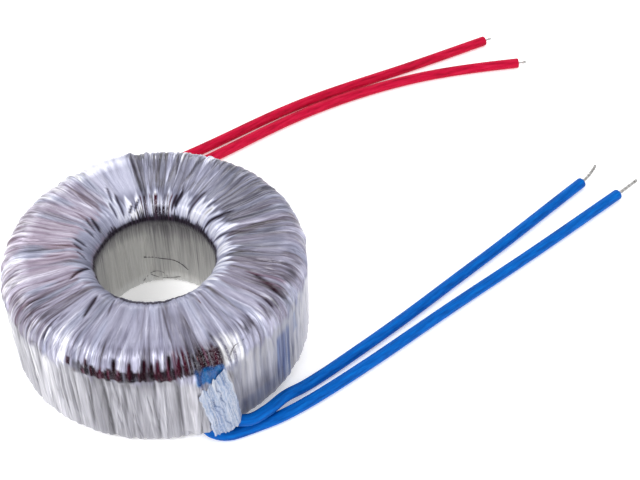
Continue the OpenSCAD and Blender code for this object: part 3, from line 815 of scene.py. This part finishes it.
# Painted highlights on the folds of the hole's rim: how bright they are round the ring, and
# where they lie; a weaker painted highlight also runs along the outer shoulder
rim_painted_highlight = by_angle((-180, 0.12), (-165, 0.26), (-150, 0.18), (-120, 0.0), (-90, 0.0), (-50, 0.52),
                      (-15, 0.76), (15, 0.72), (60, 0.64), (85, 0.54), (105, 0.8), (118, 0.4), (140, 0.0),
                      (165, 0.0))
rim = window(S, 23.8 + 1.4 * (fine[2] - 0.5), 26.6 + 5.0 * (fine[1] - 0.5), 1.8)
tone += rim_painted_highlight * rim * (0.8 + 0.5 * (fine[2] - 0.4)) + 0.08 * window(S, 40.5, 44.5, 1.2)
tone += 0.18 * patch(97, 116, 29, 42, 1.5, 2.0) - 0.12 * patch(-116, -72, 40, 47, 6.0, 2.0)
print("tone from", round(float(tone.min()), 2), "to", round(float(tone.max()), 2))

# %% Tone of the laps, the creases and the shoulder
# Broad laps that are paler or darker than their neighbours: angles, runs and amount
LAPS = [(-2, 6, 29.5, 41, -0.14), (11.5, 24, 28.5, 41, -0.09), (6.5, 11, 28, 38, 0.14),
        (24.5, 31, 30, 41, -0.05), (32, 37, 28, 40, 0.05), (51, 58, 29.5, 39, 0.16),
        (58.5, 63, 33, 41, 0.1), (76, 84, 30, 41, -0.07), (-28, -12, 29, 41, -0.05),
        (-52, -44, 27, 38, 0.1), (-66.5, -63.5, 27.5, 40, 0.16), (-60, -55, 27, 36, 0.08),
        (-124, -101, 27.5, 37, 0.06), (-99, -92, 29, 42, 0.07), (-88, -79, 32.5, 40, -0.12),
        (-77, -69, 30, 39, 0.06), (-136, -127, 33, 41, 0.07), (-149, -143, 29, 40, -0.06),
        (-170, -161, 31, 39, 0.07), (122, 127, 29, 40, -0.08), (131, 137, 28, 41, 0.06),
        (144, 149, 29, 40, -0.07), (158, 163, 29, 41, 0.05), (168, 172, 30, 41, -0.06)]
for k, (a0, a1, s0, s1, amount) in enumerate(LAPS):
    lean = (k % 5 - 2) * 0.9 * (S - 34) / 10
    across = angle_from((a0 + a1) / 2 + lean)
    lap = window(np.abs(across), -1, (a1 - a0) / 2, 0.25) * window(S, s0, s1, 2.5)
    # Painted light and shade along each lap's two edges: a highlight on one side and shade on the other
    lap_edge_light_and_shade = sum(lift * np.exp(-((across - side * (a1 - a0) / 2) * ARC_MM / 0.17) ** 2)
                   for side, lift in ((-1, 0.16), (1, -0.2)))
    tone += (1.25 * amount * lap + lap_edge_light_and_shade * window(S, s0 + 1, s1 - 1, 2.5)) * (0.85 + 0.5 * (fine[0] - 0.4))
# A painted highlight beside the deepest creases, and painted shade in them
tone = (tone + 0.30 * np.clip(beside, 0, 1)) * (1 - np.clip(1.15 * deepest, 0, 1))
# Painted light and shade along the outer shoulder, brighter or darker round the ring
tone += window(S, 38.5, 44.5, 2.0) * by_angle(
    (-180, 0.16), (-150, 0.05), (-130, 0), (-110, 0.05), (-90, 0.02), (-40, 0.02), (-15, 0.08), (15, 0.12),
    (45, -0.05), (80, -0.08), (98, 0.15), (110, 0.32), (135, 0.3), (165, 0.2))
print(len(LAPS), "laps; tone from", round(float(tone.min()), 2), "to", round(float(tone.max()), 2))


# %% Colours of the top and the outer wall
def palette(value, *stops):
    """Linear colours for a field of values, from (position, hex colour) stops."""
    at = [position for position, _ in stops]
    channels = np.array([linear(colour)[:3] for _, colour in stops]).T
    return np.stack([np.interp(value, at, channel) for channel in channels], axis=-1)


def laid_over(under, over, amount):
    """One field of colours over another, by an amount for each point."""
    return under * (1 - amount[..., None]) + over * amount[..., None]


lilac = palette(tone, (0.0, "#1E1826"), (0.2, "#4A495A"), (0.4, "#6B6C80"), (0.6, "#888AA2"),
                (0.8, "#AAACC4"), (1.0, "#D6D8E9"), (1.15, "#F4F4FB"))
pink = palette(tone, (0.0, "#301018"), (0.3, "#6C4856"), (0.6, "#9C8698"), (1.0, "#DCD2E0"))
pale = palette(tone, (0.0, "#3E3C44"), (0.3, "#807F88"), (0.6, "#B2B1BA"), (0.85, "#D6D5DB"),
               (1.05, "#F4F4F6"))
blushing = by_angle((-180, 0.65), (-160, 0.45), (-140, 0.15), (-60, 0.1), (-45, 0.25), (0, 0.2), (10, 0.3),
                    (20, 0.05), (110, 0.05), (125, 0.35), (150, 0.65)) * window(fine[0], 0.42, 2, 0.3)
colour = laid_over(lilac, pink, blushing * (1 - wall) * (1 - rim))
colour = laid_over(colour, pale, wall)
print("mean colour", [round(float(c), 3) for c in colour.mean((0, 1))])

# %% [markdown]
# Inside the hole the film lies taut over the turns, so it shows straight ribs of olive grey,
# with painted shade that darkens them up the wall and under the rim, where little light comes.
# A thin and ragged dark line of painted shade runs round the rim, where the film turns over
# the edge: on the far side it hangs below the painted highlights of the folds, with spikes that
# reach up between them, and on the near side it lies on top.

# %% The hole and its rim
ribs = 0.52 + 0.16 * (fine[2] - 0.5) + 0.22 * (fine[3] - 0.5) + 0.20 * (fine[1] - 0.5)
ribs = ribs + by_angle((-180, -0.06), (0, 0.0), (90, 0.0), (100, 0.34), (140, 0.26), (152, 0.0), (170, -0.08))
# Painted shade: the ribs darken up the wall and more under the rim; a pale band of film lies at the foot
ribs = (ribs + 0.012 * (12 - S) - 0.34 * window(S, 21.2, 30, 2.2)
        + 0.4 * window(S, -1, 3.6 + 2.0 * fine[1], 1.0))
colour = laid_over(colour, palette(ribs, (0.0, "#3C3A3E"), (0.3, "#7C7A7B"), (0.5, "#A6A5A3"),
                                   (0.8, "#BDBCB8"), (1.2, "#D2D2D0")), hole)
# Where the shade under the rim begins
shade_from = by_angle((-180, 18.8), (-60, 20.5), (0, 20.5), (15, 19.6), (30, 18.4), (45, 17.2), (60, 15.8),
                      (75, 16.4), (90, 17.4), (105, 17.0), (120, 17.4), (135, 17.8), (150, 18.6))
gloom = np.clip((S - shade_from - 2.4 * (fine[2] - 0.5)) / (22.4 - shade_from), 0, 1)
gloom = gloom * window(S, -1, 22.5, 0.3)
colour = laid_over(colour, palette(gloom, (0.0, "#56525A"), (1.0, "#262029")), 0.95 * gloom ** 0.6)

spikes = np.clip((0.6 * ridged[2] + 0.4 * ridged[1] - 0.52) / 0.4, 0, 1) ** 1.5 * broken(fine[0], 2.0, 0.3)
spikes = spikes * by_angle((-180, 0.5), (-60, 0.3), (0, 0.5), (60, 1.2), (72, 4.0), (95, 4.0), (108, 1.0),
                           (150, 0.5))
lip_top = by_angle((-180, 22.2), (-150, 22.4), (-60, 22.6), (0, 22.4), (30, 22.8), (60, 22.8), (100, 22.7),
                   (140, 22.4), (155, 21.9))
# The dark line round the rim is painted shade, where the film turns over the edge
lip = window(S, 22.0 + 0.5 * (fine[1] - 0.5), lip_top + 1.0 * (fine[0] - 0.5) + spikes, 0.35)
lip = lip * by_angle((-110, 0.55), (-60, 0.4), (-20, 0.6), (10, 0.9), (150, 0.95), (-150, 0.85))
# Two dark blots at the far side of the rim, and a painted line of shade along its near side
blots = np.maximum(patch(91, 98, 22, 23.8, 1.2, 0.6), patch(71, 86, 22, 24.4, 1.5, 0.8))
near_edge = 27.2 - 0.0016 * angle_from(-98) ** 2 + 0.5 * (fine[2] - 0.5)
lip = np.max([lip, blots * broken(fine[3], 4.0, 1.2),
              0.9 * window(S, near_edge - 1.1, near_edge, 0.3) * facing(-100, 28, 10)], axis=0)
colour = laid_over(colour, palette(fine[3] + 0.5 * (ridged[2] - 0.5), (0.2, "#100A12"), (0.95, "#3A3240")),
                   lip)
print("the dark line covers", round(100 * float(lip.mean()), 1), "% of the grid")

# %% [markdown]
# Wire shows through in dark red where the film lies close or parts: in a broken band under
# the front shoulder, in stripes at the far rim, and in a few folds above the band.

# %% Wire seen through the film
fine_mix = 0.5 * fine[2] + 0.5 * fine[3]
# Where it is seen: how clearly, the patch, and the noise that breaks it up, its gain and what it loses
PLACES = [(1.0, (-88, -72, 41.0, 46.2, 2.0, 1.2), fine[3], 3.4, 1.5),
          (1.0, (68, 96, 22.6, 26.8, 2.0, 1.0), fine_mix, 4.4, 1.9),
          (0.6, (14, 50, 23, 27.0, 3.0, 1.2), fine[2], 3.0, 1.8),
          (0.7, (-38, -31, 33, 40, 1.5, 1.5), fine[2], 2.0, 0.4),
          (0.7, (118, 214, 40.5, 44.5, 6.0, 2.0), fine[3], 3.0, 1.6)]
# Folds where a dark red turn shows through: from one angle and run to another, and width
REDS = [(-110.5, 41.1, -110.0, 45.0, 0.4), (-104.5, 41.4, -104.5, 45.8, 0.4),
        (-99.2, 40.8, -99.5, 46.1, 0.5), (-94.2, 41.1, -95.0, 45.9, 0.45),
        (-90.0, 40.3, -91.0, 45.8, 0.5), (-86.5, 41.3, -87.8, 46.2, 0.5),
        (-121.0, 42.1, -120.5, 44.1, 0.3), (-96.5, 41.6, -97.0, 45.9, 0.35)]
band = facing(-97, 23, 9.0)
turns_seen = np.clip(2.2 * turn - 1.3 + 3.4 * (fine[3] - 0.5), 0, 1)
tooth = 42.6 + 1.8 * fine[1] + np.clip(-112 - AZ, 0, 40) * 0.12
seen = band * window(SEEN, tooth, 45.9, 0.4) * turns_seen
for share, place, field, gain, less in PLACES:
    seen = np.maximum(seen, share * patch(*place) * broken(field, gain, less))
reds = np.clip(sum(1.2 * stroke(*line) for line in REDS), 0, 1)
seen = np.maximum(seen * (1 - 0.8 * blots), reds)
print("wire shows through on", round(100 * float(seen.mean()), 1), "% of the grid")

# %% The dark band and the gaps in the film
# Gaps in the film that show as black spots: two angles, and two places along the section
SPOTS = [(-128.9, -127.4, 43.6, 45.2), (-123.2, -122.3, 44.7, 45.3), (-121.0, -119.5, 44.3, 45.4),
         (-118.1, -116.9, 44.7, 45.4), (-116.2, -114.8, 44.7, 45.5)]
dark_band = np.maximum(band * window(SEEN, 43.8 + 1.6 * (fine[2] - 0.5), 46.2 + 0.7 * (fine[1] - 0.5), 0.3),
                       patch(-84, -71.5, 42.6, 46.4, 1.0, 0.5))
dark_band = dark_band * broken(0.6 * fine[3] + 0.4 * fine[2], 2.8, 0.1)
dark_band = np.max([dark_band] + [patch(*spot, 0.35, 0.35) for spot in SPOTS], axis=0)
# Painted shade: soft dark streaks over the right shoulder and under the front one
shadow = np.maximum(
    patch(-62, -18, 39.4 + 2 * fine[2], 40.2 + 2 * fine[2], 3.0, 1.4) * np.clip(3.0 * fine[1] - 1.3, 0, 0.8),
    patch(-124, -70, 43.6, 46.0, 6, 0.6) * broken(fine[3], 2.6, 0.9) * 0.8)
colour = laid_over(colour, palette(fine[3], (0.2, "#26222A"), (0.9, "#6A6470")), 0.85 * shadow)
colour = laid_over(colour, palette(fine[2], (0.2, "#060308"), (0.6, "#1E0A14"), (0.9, "#3C1424")),
                   0.96 * dark_band)
# The dark red is painted lighter on the crown of each turn and on the lit edges of pleats
dark_red = palette(fine[3] + 0.5 * (turn - 0.5) + 0.3 * pleat_edge, (0.15, "#0A0308"), (0.5, "#240612"),
                   (0.85, "#440A22"), (1.1, "#705468"))
colour = laid_over(colour, dark_red, np.clip(seen, 0, 1))
print(len(SPOTS), "black spots")

# %% [markdown]
# The blue leads' sleeves show through the film over the splices as a patch of blue whose
# crumples carry painted pale highlights. Painted white glints on creased tape lie beside it, and
# further to the right the wall has a dull blue strip.

# %% Blue and white on the wall
splice = patch(-81.6, -73.2, 45.9 + 0.8 * fine[1], 49.4 + 1.4 * fine[0] + 0.1 * (AZ - LEAD_ANGLE), 1.4, 0.5)
# Painted light on the crumples over the blue: the palette runs up to a pale highlight
crumple = 0.5 + 0.9 * (fine[3] - 0.5) + 0.9 * (fine[2] - 0.5)
colour = laid_over(colour, palette(crumple, (0.0, "#021E4C"), (0.45, "#04549A"), (0.8, "#1276BC"),
                                   (1.1, "#A2CCE8")), 0.97 * splice)
# Painted white glints on creased tape beside the blue
fleck_glints = patch(-71.5, -63.5, 41.6, 46.2, 1.2, 1.5) * broken(fine_mix, 6.0, 2.4)
colour = laid_over(colour, palette(fine[1], (0.0, "#E8E8F0"), (1.0, "#FAFAFC")), 0.9 * fleck_glints)
# The last patch, at the foot of the wall left of the strip, is painted shade
strip = np.max([patch(-46.5, -38.5, 50.0, 65.0, 0.6, 2.5) * (0.85 + 0.4 * (fine[1] - 0.4)),
                0.7 * patch(-35.2, -32.8, 48.5, 52.5, 0.8, 1.0),
                0.5 * patch(-66, -48, 60.2, 66.0, 3.0, 2.0)], axis=0)
colour = laid_over(colour, palette(fine[2], (0.1, "#1E2A54"), (0.5, "#3A4A78"), (0.9, "#6C7CA2")),
                   0.85 * np.clip(strip, 0, 1))
print("blue covers", round(100 * float(np.maximum(splice, strip).mean()), 1), "% of the grid")

# %% How clear, matt and finely marked the film is, and how strong its painted glints are
clear = np.clip(0.12 * np.maximum(seen, dark_band) + 0.3 * splice, 0, 0.5)
opened = np.max([seen, dark_band, 0.9 * lip, 0.9 * deepest, 0.8 * shadow, 0.7 * splice], axis=0)
opened = np.clip(opened, 0, 1)
crumpled = np.max([0.2 * patch(-83, -71, 41.0, 46.0, 3.0, 2.0), 0.5 * patch(-69, -64, 42.0, 46.0, 3.0, 2.5),
                   0.06 * dark_band, 0.4 * patch(72, 90, 23.6, 25.6, 3.0, 1.0), 0.12 * splice], axis=0)
detail = (busy * (1 - 0.5 * hole) * (1 - 0.4 * flat_wall) * (1 - 0.45 * calm)
          * (1 - 0.5 * patch(97, 116, 27, 42, 1.5, 2.0)) * (1 - 0.45 * wall)
          * (1 - 0.5 * np.clip(seen + splice, 0, 1)))
print("detail up to", round(float(detail.max()), 2))

# %% [markdown]
# The material reads what each vertex carries: its colour, and how clear, open and marked the
# film is there, and how strong the painted glints on its crumples are. Nodes add what is finer
# than the grid: slivers and panels of tape about 1 and 3 mm wide, streaks of painted light and
# shade, thin dark edges and painted white glints on the crumples. Polyester is glossy,
# with an index of 1.58, and the air between its layers makes it look a little metallic.

# %% Polyester film
def polyester_film(name):
    material, tree, shader = new_material(name)
    carried = {attribute: add(tree, "Attribute", {"attribute_name": attribute}).outputs[output]
               for attribute, output in (("film", "Color"), ("sheet", "Vector"), ("clear", "Fac"),
                                         ("detail", "Fac"), ("open", "Fac"), ("crumple", "Fac"))}
    sheet = carried["sheet"]
    streak = add(tree, "TexNoise", Vector=sheet, Scale=4.6, Detail=2.0, Roughness=0.5)
    bent = add(tree, "TexNoise", Vector=sheet, Scale=0.35, Detail=1.0).outputs["Color"]
    place = add(tree, "VectorMath ADD", i0=sheet, i1=bent)
    cells = [add(tree, "TexVoronoi", Vector=place, Scale=scale) for scale in (0.95, 0.34)]
    sliver, panels = (add(tree, "SeparateColor", Color=cell.outputs["Color"]) for cell in cells)
    rims = add(tree, "TexVoronoi", {"feature": "DISTANCE_TO_EDGE"}, Vector=place, Scale=0.95)
    # Slivers and panels vary the tone, the streaks paint light and shade that follow the bump, and the cell
    # rims draw thin dark edges
    shade = 0.0
    for value, i1, i2, i3, i4 in ((sliver, 0.0, 1.0, -0.20, 0.20), (panels, 0.0, 1.0, -0.18, 0.18),
                                  (streak, 0.32, 0.68, -0.34, 0.34), (rims, 0.0, 0.05, -0.36, 0.0)):
        marks = add(tree, "MapRange", Value=value, i1=i1, i2=i2, i3=i3, i4=i4)
        shade = add(tree, "Math ADD", i0=shade, i1=marks)
    shade = add(tree, "Math MULTIPLY_ADD", i0=shade, i1=carried["detail"], i2=1.0)
    coloured = add(tree, "HueSaturation", Value=shade, Color=carried["film"])
    # Painted glints: thin white lines over the crumpled film
    crushed_at = add(tree, "Mapping", Vector=add(tree, "TexCoord").outputs["Object"], Scale=(1.0, 1.0, 0.45))
    crushed = add(tree, "TexNoise", Vector=crushed_at, Scale=1100.0, Detail=2.0, Distortion=1.6)
    off_middle = add(tree, "Math ABSOLUTE", i0=add(tree, "Math SUBTRACT", i0=crushed, i1=0.5))
    painted_glints = add(tree, "MapRange", Value=off_middle, i1=0.0, i2=0.05, i3=0.9, i4=0.0)
    painted_glints = add(tree, "Math MULTIPLY", i0=painted_glints, i1=carried["crumple"])
    mixed = add(tree, "Mix", {"data_type": "RGBA"}, i0=painted_glints, i6=coloured, i7=linear("#E6E4EE"))
    height = add(tree, "Math MULTIPLY_ADD", i0=sliver, i1=0.5, i2=streak)
    bump = add(tree, "Bump", Height=height, Strength=0.45, Distance=0.0002)
    rough = add(tree, "MapRange", Value=streak, i1=0.3, i2=0.7, i3=0.3, i4=0.46)
    solid, gloss, coat, metal = (add(tree, "MapRange", Value=carried[name], i1=0.0, i2=1.0, i3=i3, i4=i4)
                                 for name, i3, i4 in (("clear", 1.0, 0.1), ("open", 0.5, 0.02),
                                                      ("open", 0.22, 0.0), ("open", 0.15, 0.0)))
    set_inputs(tree, shader, Base_Color=mixed.outputs[2], Alpha=solid, Normal=bump, Roughness=rough,
               Specular_IOR_Level=gloss, Metallic=metal, IOR=1.58, Coat_Weight=coat, Coat_Roughness=0.2,
               Coat_IOR=1.58)
    return material


film = polyester_film("clear_polyester_film")
print(film.name, len(film.node_tree.nodes), "nodes")

# %% [markdown]
# A node tree adds the smallest wrinkles to the skin. It reads each point's outward
# direction and its place on the sheet of film, and moves the point by a seeded noise that
# is fine round the ring and long from the hole outwards, as gathered tape is.

# %% Node tree for the film's fine wrinkles
wrinkles, size, result = node_group("fine_wrinkles", [
    ("Geometry", "Geometry", None), ("Depth", "Float", 0.0001), ("Per millimetre", "Float", 1.2),
    ("Seed", "Float", 3.0)])
sheet, outward = (add(wrinkles, "GeometryNodeInputNamedAttribute", {"data_type": "FLOAT_VECTOR"}, Name=name)
                  for name in ("sheet", "outward"))
waves = add(wrinkles, "TexNoise", {"noise_dimensions": "4D"}, Vector=sheet, W=size["Seed"],
            Scale=size["Per millimetre"], Detail=2.0)
centred = add(wrinkles, "Math SUBTRACT", i0=waves, i1=0.5)
height = add(wrinkles, "Math MULTIPLY", i0=centred, i1=size["Depth"])
move = add(wrinkles, "VectorMath SCALE", i0=outward, Scale=height)
moved = add(wrinkles, "GeometryNodeSetPosition", Geometry=size["Geometry"], Offset=move)
finish_group(wrinkles, moved, film, result)
print(wrinkles.name, len(wrinkles.nodes), "nodes")


# %% Build the film wrap
def dressed(piece, colours, **fields):
    """Gives a piece of film its colours and what else its vertices carry, then its fine wrinkles."""
    count = len(piece.data.vertices)
    store(piece, "film", np.column_stack([colours, np.ones(count)]))
    for name, values in fields.items():
        store(piece, name, np.broadcast_to(values, (count, np.shape(values)[-1] if np.ndim(values) else 1)))
    return grow(piece, wrinkles, {"Depth": 0.00014, "Per millimetre": 1.3, "Seed": 3.0})


def grid(field):
    return np.broadcast_to(field, (AROUND, ALONG)).reshape(-1, 1)


# The sheet's own place: a circle round the axis and a stretched run, so that marks lie long
SHEET_R = 22
stretch = np.interp(S, [0, 21, 46, 66, 82], [0, 1.0, 4.0, 4.7, 6.0])
wrap = new_piece("film_wrap", points * MM, quads, film)
dressed(wrap, colour.reshape(-1, 3), clear=grid(clear), detail=grid(detail), open=grid(opened),
        crumple=grid(crumpled), sheet=around_axis(SHEET_R, stretch), outward=normals)
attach(wrap, "root")
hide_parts("outer_wrap")
print(wrap.name, len(wrap.data.polygons), "faces")

# %% [markdown]
# The tape's crumpled end covers the place where the blue leads come out. It is a sheet of
# its own: a pale blue tab that hangs over the swelling, with ragged edges, long folds with painted
# light and shade, painted highlight streaks and a few creases that show the blue of the leads.

# %% Shape of the crumpled tab of tape
TAB_ROWS, TAB_COLS = 70, 44
# In millimetres: its thickness, its gap to the film, and the heights of its upper and lower edge
TAB_T, TAB_OFF, TAB_TOP, TAB_LOW = 0.08, 0.28, 19.6, 4.2
# In degrees: half its width and what that gains on the way down, and where its middle runs
TAB_HALF, TAB_WIDENS, TAB_ANGLE, TAB_SLANT = 4.8, 0.9, -77.6, 4.6
v = np.linspace(0, 1, TAB_ROWS)[:, None]
u = np.linspace(-1, 1, TAB_COLS)[None, :]


def rough_line(count, knots, seed):
    """A ragged line of values from -1 to 1."""
    values = np.random.default_rng(seed).uniform(-1, 1, knots)
    return np.interp(np.linspace(0, knots - 1, count), np.arange(knots), values)


half = TAB_HALF + 0.3 * rough_line(TAB_ROWS, 14, 1)[:, None] + TAB_WIDENS * v
middle = TAB_ANGLE + TAB_SLANT * v + 0.2 * rough_line(TAB_ROWS, 9, 2)[:, None]
tab_az = middle + half * u
top_edge = TAB_TOP + 2.0 * u + 0.8 * rough_line(TAB_COLS, 15, 3)[None, :]
low_edge = TAB_LOW + (0.45 * rough_line(TAB_COLS, 23, 4) + 0.6 * rough_line(TAB_COLS, 6, 8))[None, :]
tab_z = top_edge * (1 - v) + v * low_edge
# Folds that run down the tab: depth, how close they lie, where they start and how they slant
FOLDS = [(0.10, 7.0, 0.4, 1.0), (0.08, 13.0, 2.0, -2.0), (0.05, 23.0, 1.0, 1.5), (0.03, 37.0, 3.0, -1.0)]
fold = sum(depth * np.sin(close * u + start + 2.2 * v * slant) for depth, close, start, slant in FOLDS)
fold = 0.32 * fold + 0.05 * rough_line(TAB_ROWS, 30, 5)[:, None] * np.cos(9 * u + 8 * v)
swell = window(np.abs(tab_az - LEAD_ANGLE), -1, SWELL_HALF, SWELL_SOFT) * swelling(tab_z)
tab_r = OUTER_R + swell + TAB_OFF + fold + 0.4 * v ** 3
tab_phi = np.radians(tab_az)
outer_side = np.stack([tab_r * np.cos(tab_phi), tab_r * np.sin(tab_phi), tab_z], axis=2)
away = np.stack([np.cos(tab_phi), np.sin(tab_phi), 0 * tab_z], axis=2)
tab_points = np.vstack([outer_side.reshape(-1, 3), (outer_side - TAB_T * away).reshape(-1, 3)])
print("tab", round(float(np.ptp(tab_z)), 1), "mm high")

# %% Faces of the tab: its front, its back and the wall between them
index = np.arange(TAB_ROWS * TAB_COLS).reshape(TAB_ROWS, TAB_COLS)
front = np.column_stack([index[:-1, :-1].ravel(), index[1:, :-1].ravel(), index[1:, 1:].ravel(),
                         index[:-1, 1:].ravel()])
rim_line = np.concatenate([index[0], index[1:, -1], index[-1, -2::-1], index[-2:0:-1, 0]])
after = np.roll(rim_line, -1)
tab_faces = np.vstack([front, front[:, ::-1] + index.size,
                       np.column_stack([rim_line, after, after + index.size, rim_line + index.size])])
print("tab", len(tab_faces), "faces")

# %% Colour of the tab
tab_highlight_streaks = np.random.default_rng(9).uniform(-1, 1, (4, TAB_COLS))
along = np.linspace(0, 3, TAB_ROWS)[:, None]
low = np.minimum(along.astype(int).ravel(), 2)
along = along - low[:, None]
tab_highlight_streaks = tab_highlight_streaks[low] * (1 - along) + tab_highlight_streaks[low + 1] * along
# Painted light and shade: the tab is lighter where its folds stand out and darker where they sink, with
# painted highlight streaks down it
tab_colour = palette(np.clip(0.42 + 1.6 * fold + 0.34 * tab_highlight_streaks, 0, 1), (0.0, "#4A6A9E"), (0.3, "#8C9EBE"),
                     (0.55, "#AEB8CC"), (0.8, "#CCD2DE"), (1.0, "#F2F4F8"))
# Creases across the tab, each from one u and v to another
TAB_CREASES = [(-0.42, 0.28, 0.02, 0.58), (-0.5, 0.42, -0.2, 0.62), (0.12, 0.1, 0.2, 0.5),
               (-0.1, 0.7, 0.1, 0.92)]
crease = 0
for u0, v0, u1, v1 in TAB_CREASES:
    aside = u - u0 - (u1 - u0) * (v - v0) / (v1 - v0) - 0.05 * np.sin(31 * v + 3 * u0)
    crease = crease + np.exp(-(aside / 0.045) ** 2) * window(v, v0, v1, 0.06)
tab_colour = laid_over(tab_colour, palette(v + 0 * u, (0.0, "#24406E"), (1.0, "#3A5C92")),
                       0.75 * np.clip(crease, 0, 1))
print("creases across the tab", len(TAB_CREASES))

# %% Build the tab
tab = new_piece("film_tab", tab_points * MM, tab_faces, film)
tab_sheet = np.stack(np.broadcast_arrays(tab_az * 0.9, 0 * v, v), axis=2).reshape(-1, 3)
dressed(tab, np.vstack([tab_colour.reshape(-1, 3)] * 2), clear=0.26, detail=0.45, open=0.1, crumple=0.45,
        sheet=np.vstack([tab_sheet] * 2), outward=np.vstack([away.reshape(-1, 3)] * 2))
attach(tab, "root")
print(tab.name, len(tab.data.polygons), "faces")

# %% [markdown]
# The pieces that are left have one colour each, which varies a little from place to place,
# so one function gives them all their material.

# %% A finish of one colour
def coated(name, base, dark, roughness, metallic, scale, coat=0.0):
    """A finish such as enamel, polyester or steel strip; scale is that of its blotches, per metre."""
    material, tree, shader = new_material(name)
    place = add(tree, "TexCoord").outputs["Object"]
    blotch = add(tree, "TexNoise", Vector=place, Scale=scale, Detail=3.0)
    colour = add(tree, "ValToRGB", stops=[(0.35, dark), (0.65, base)], Fac=blotch)
    set_inputs(tree, shader, Base_Color=colour, Roughness=roughness, Metallic=metallic, Coat_Weight=coat)
    return material


edge_dark = coated("edge_of_polyester_tape", "#5A565A", "#3A363C", 0.4, 0.1, 900.0)
print("first finish", edge_dark.name)

# %% [markdown]
# Free edges of tape show as thin dark lines: one curves across the wall of the hole, two lie
# below it, and the last runs over the shoulder beside the tab.

# %% Edges of tape
# Each edge: the angles and runs that it passes, and its radius
EDGES = {"tape_edge_hole": ([(56, 7.2), (64, 8.6), (72, 9.3), (82, 9.6), (92, 10.3), (101, 11.0)], 0.1),
         "tape_edge_loop": ([(105, 3.7), (100, 4.9), (95, 5.8), (89, 6.0), (84, 5.3), (80, 4.0)], 0.06),
         "tape_edge_low": ([(96, 5.2), (90, 4.2), (84, 3.5), (74, 3.6), (66, 4.3)], 0.06),
         "tape_edge_shoulder": ([(-70, 42.9), (-66, 42.6), (-62, 42.9), (-58, 42.2)], 0.06)}
EDGE_SIDES = 8


def on_film(angle, run):
    """A point on the film, in millimetres, from its angle and its place along the section."""
    column = int(round(angle / 360 * AROUND)) % AROUND
    radius, height = (np.interp(run, S_RUN, field[column]) for field in (film_r, film_z))
    bearing = math.radians(angle)
    return np.array([radius * math.cos(bearing), radius * math.sin(bearing), height])


for name, (stops, radius) in EDGES.items():
    line = smooth_line([on_film(*stop) for stop in stops], 0.3)
    points, faces = tube(line, np.full(len(line), radius), EDGE_SIDES)
    piece = new_piece(name, points * MM, faces, edge_dark)
    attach(piece, "root")
    print(name, len(faces), "faces")

# %% [markdown]
# ## What lies under the film
# The CAD pieces under the film keep their shape and get a finish of their own: dark red
# enamelled wire, the copper-coloured inner winding, and the steel strip of the core, whose
# end caps share its finish. Each finish goes to the nodes whose names start with its key.

# %% Finishes of the pieces under the film
FINISHES = {
    "core": coated("annealed_silicon_steel", "#8B8E93", "#6A6D72", 0.45, 1.0, 300.0),
    "inner_winding": coated("fine_enamelled_copper", "#6E2A20", "#3A1414", 0.35, 0.6, 900.0, 0.5),
    "interwinding_film": coated("clear_polyester_over_copper", "#4E2224", "#2C1016", 0.3, 0.1, 500.0, 0.5),
    "outer_winding": coated("dark_red_enamelled_copper", "#6E1E28", "#3A0C14", 0.28, 0.5, 500.0, 0.8),
    "splice_pad": coated("adhesive_polyester_pad", "#D9D6C6", "#C4C0AE", 0.4, 0.0, 300.0),
    "splice_sleeve_blue": coated("blue_shrunk_polyolefin", "#0F68CC", "#0A4FA6", 0.4, 0.0, 600.0),
    "splice_sleeve_red": coated("red_shrunk_polyolefin", "#C8183E", "#9E1230", 0.4, 0.0, 600.0),
}
finished = [(node, finish) for name, node in NODES.items() for start, finish in FINISHES.items()
            if name.startswith(start)]
for node, finish in finished:
    node.data.materials.clear()
    node.data.materials.append(finish)
print(len(FINISHES), "finishes on", len(finished), "pieces")

# %% [markdown]
# ## The room
# A pale floor, a bright and even sky and three large soft lamps: the strongest above the ring
# to the left, one to the right and one behind it, so that the film shows long soft
# highlights and the shadow stays faint.

# %% Floor
FLOOR = 3.0
paper, tree, shader = new_material("white_paper_on_a_light_table")
set_inputs(tree, shader, Base_Color=linear("#FAFAFB"), Roughness=0.8, Emission_Color=linear("#FFFFFF"),
           Emission_Strength=0.32)
floor = new_piece("floor", [(-FLOOR, -FLOOR, 0), (FLOOR, -FLOOR, 0), (FLOOR, FLOOR, 0), (-FLOOR, FLOOR, 0)],
                  [(0, 1, 2, 3)], paper, smooth=False)
print("floor", 2 * FLOOR, "m wide")


# %% Lamps and sky
def area_light(name, place, aim, size, power):
    data = bpy.data.lights.new(name, "AREA")
    data.shape = "RECTANGLE"
    data.size, data.size_y = size
    data.energy = power
    lamp = bpy.data.objects.new(name, data)
    bpy.context.scene.collection.objects.link(lamp)
    lamp.location = place
    lamp.rotation_euler = (Vector(aim) - Vector(place)).to_track_quat("-Z", "Y").to_euler()
    print("lamp", name, power, "W")


area_light("key", (-0.35, -0.25, 0.55), (0, 0, 0.01), (0.35, 0.25), 2.4)
area_light("fill", (0.5, -0.35, 0.35), (0.03, 0, 0.01), (0.3, 0.3), 0.8)
area_light("rim", (0.1, 0.6, 0.4), (0.03, 0, 0.01), (0.5, 0.2), 1.2)
world = bpy.data.worlds.new("studio")
world.use_nodes = True
set_inputs(world.node_tree, world.node_tree.nodes["Background"], Color=linear("#FFFFFF"), Strength=0.72)
bpy.context.scene.world = world
bpy.context.scene.view_settings.view_transform = "Standard"
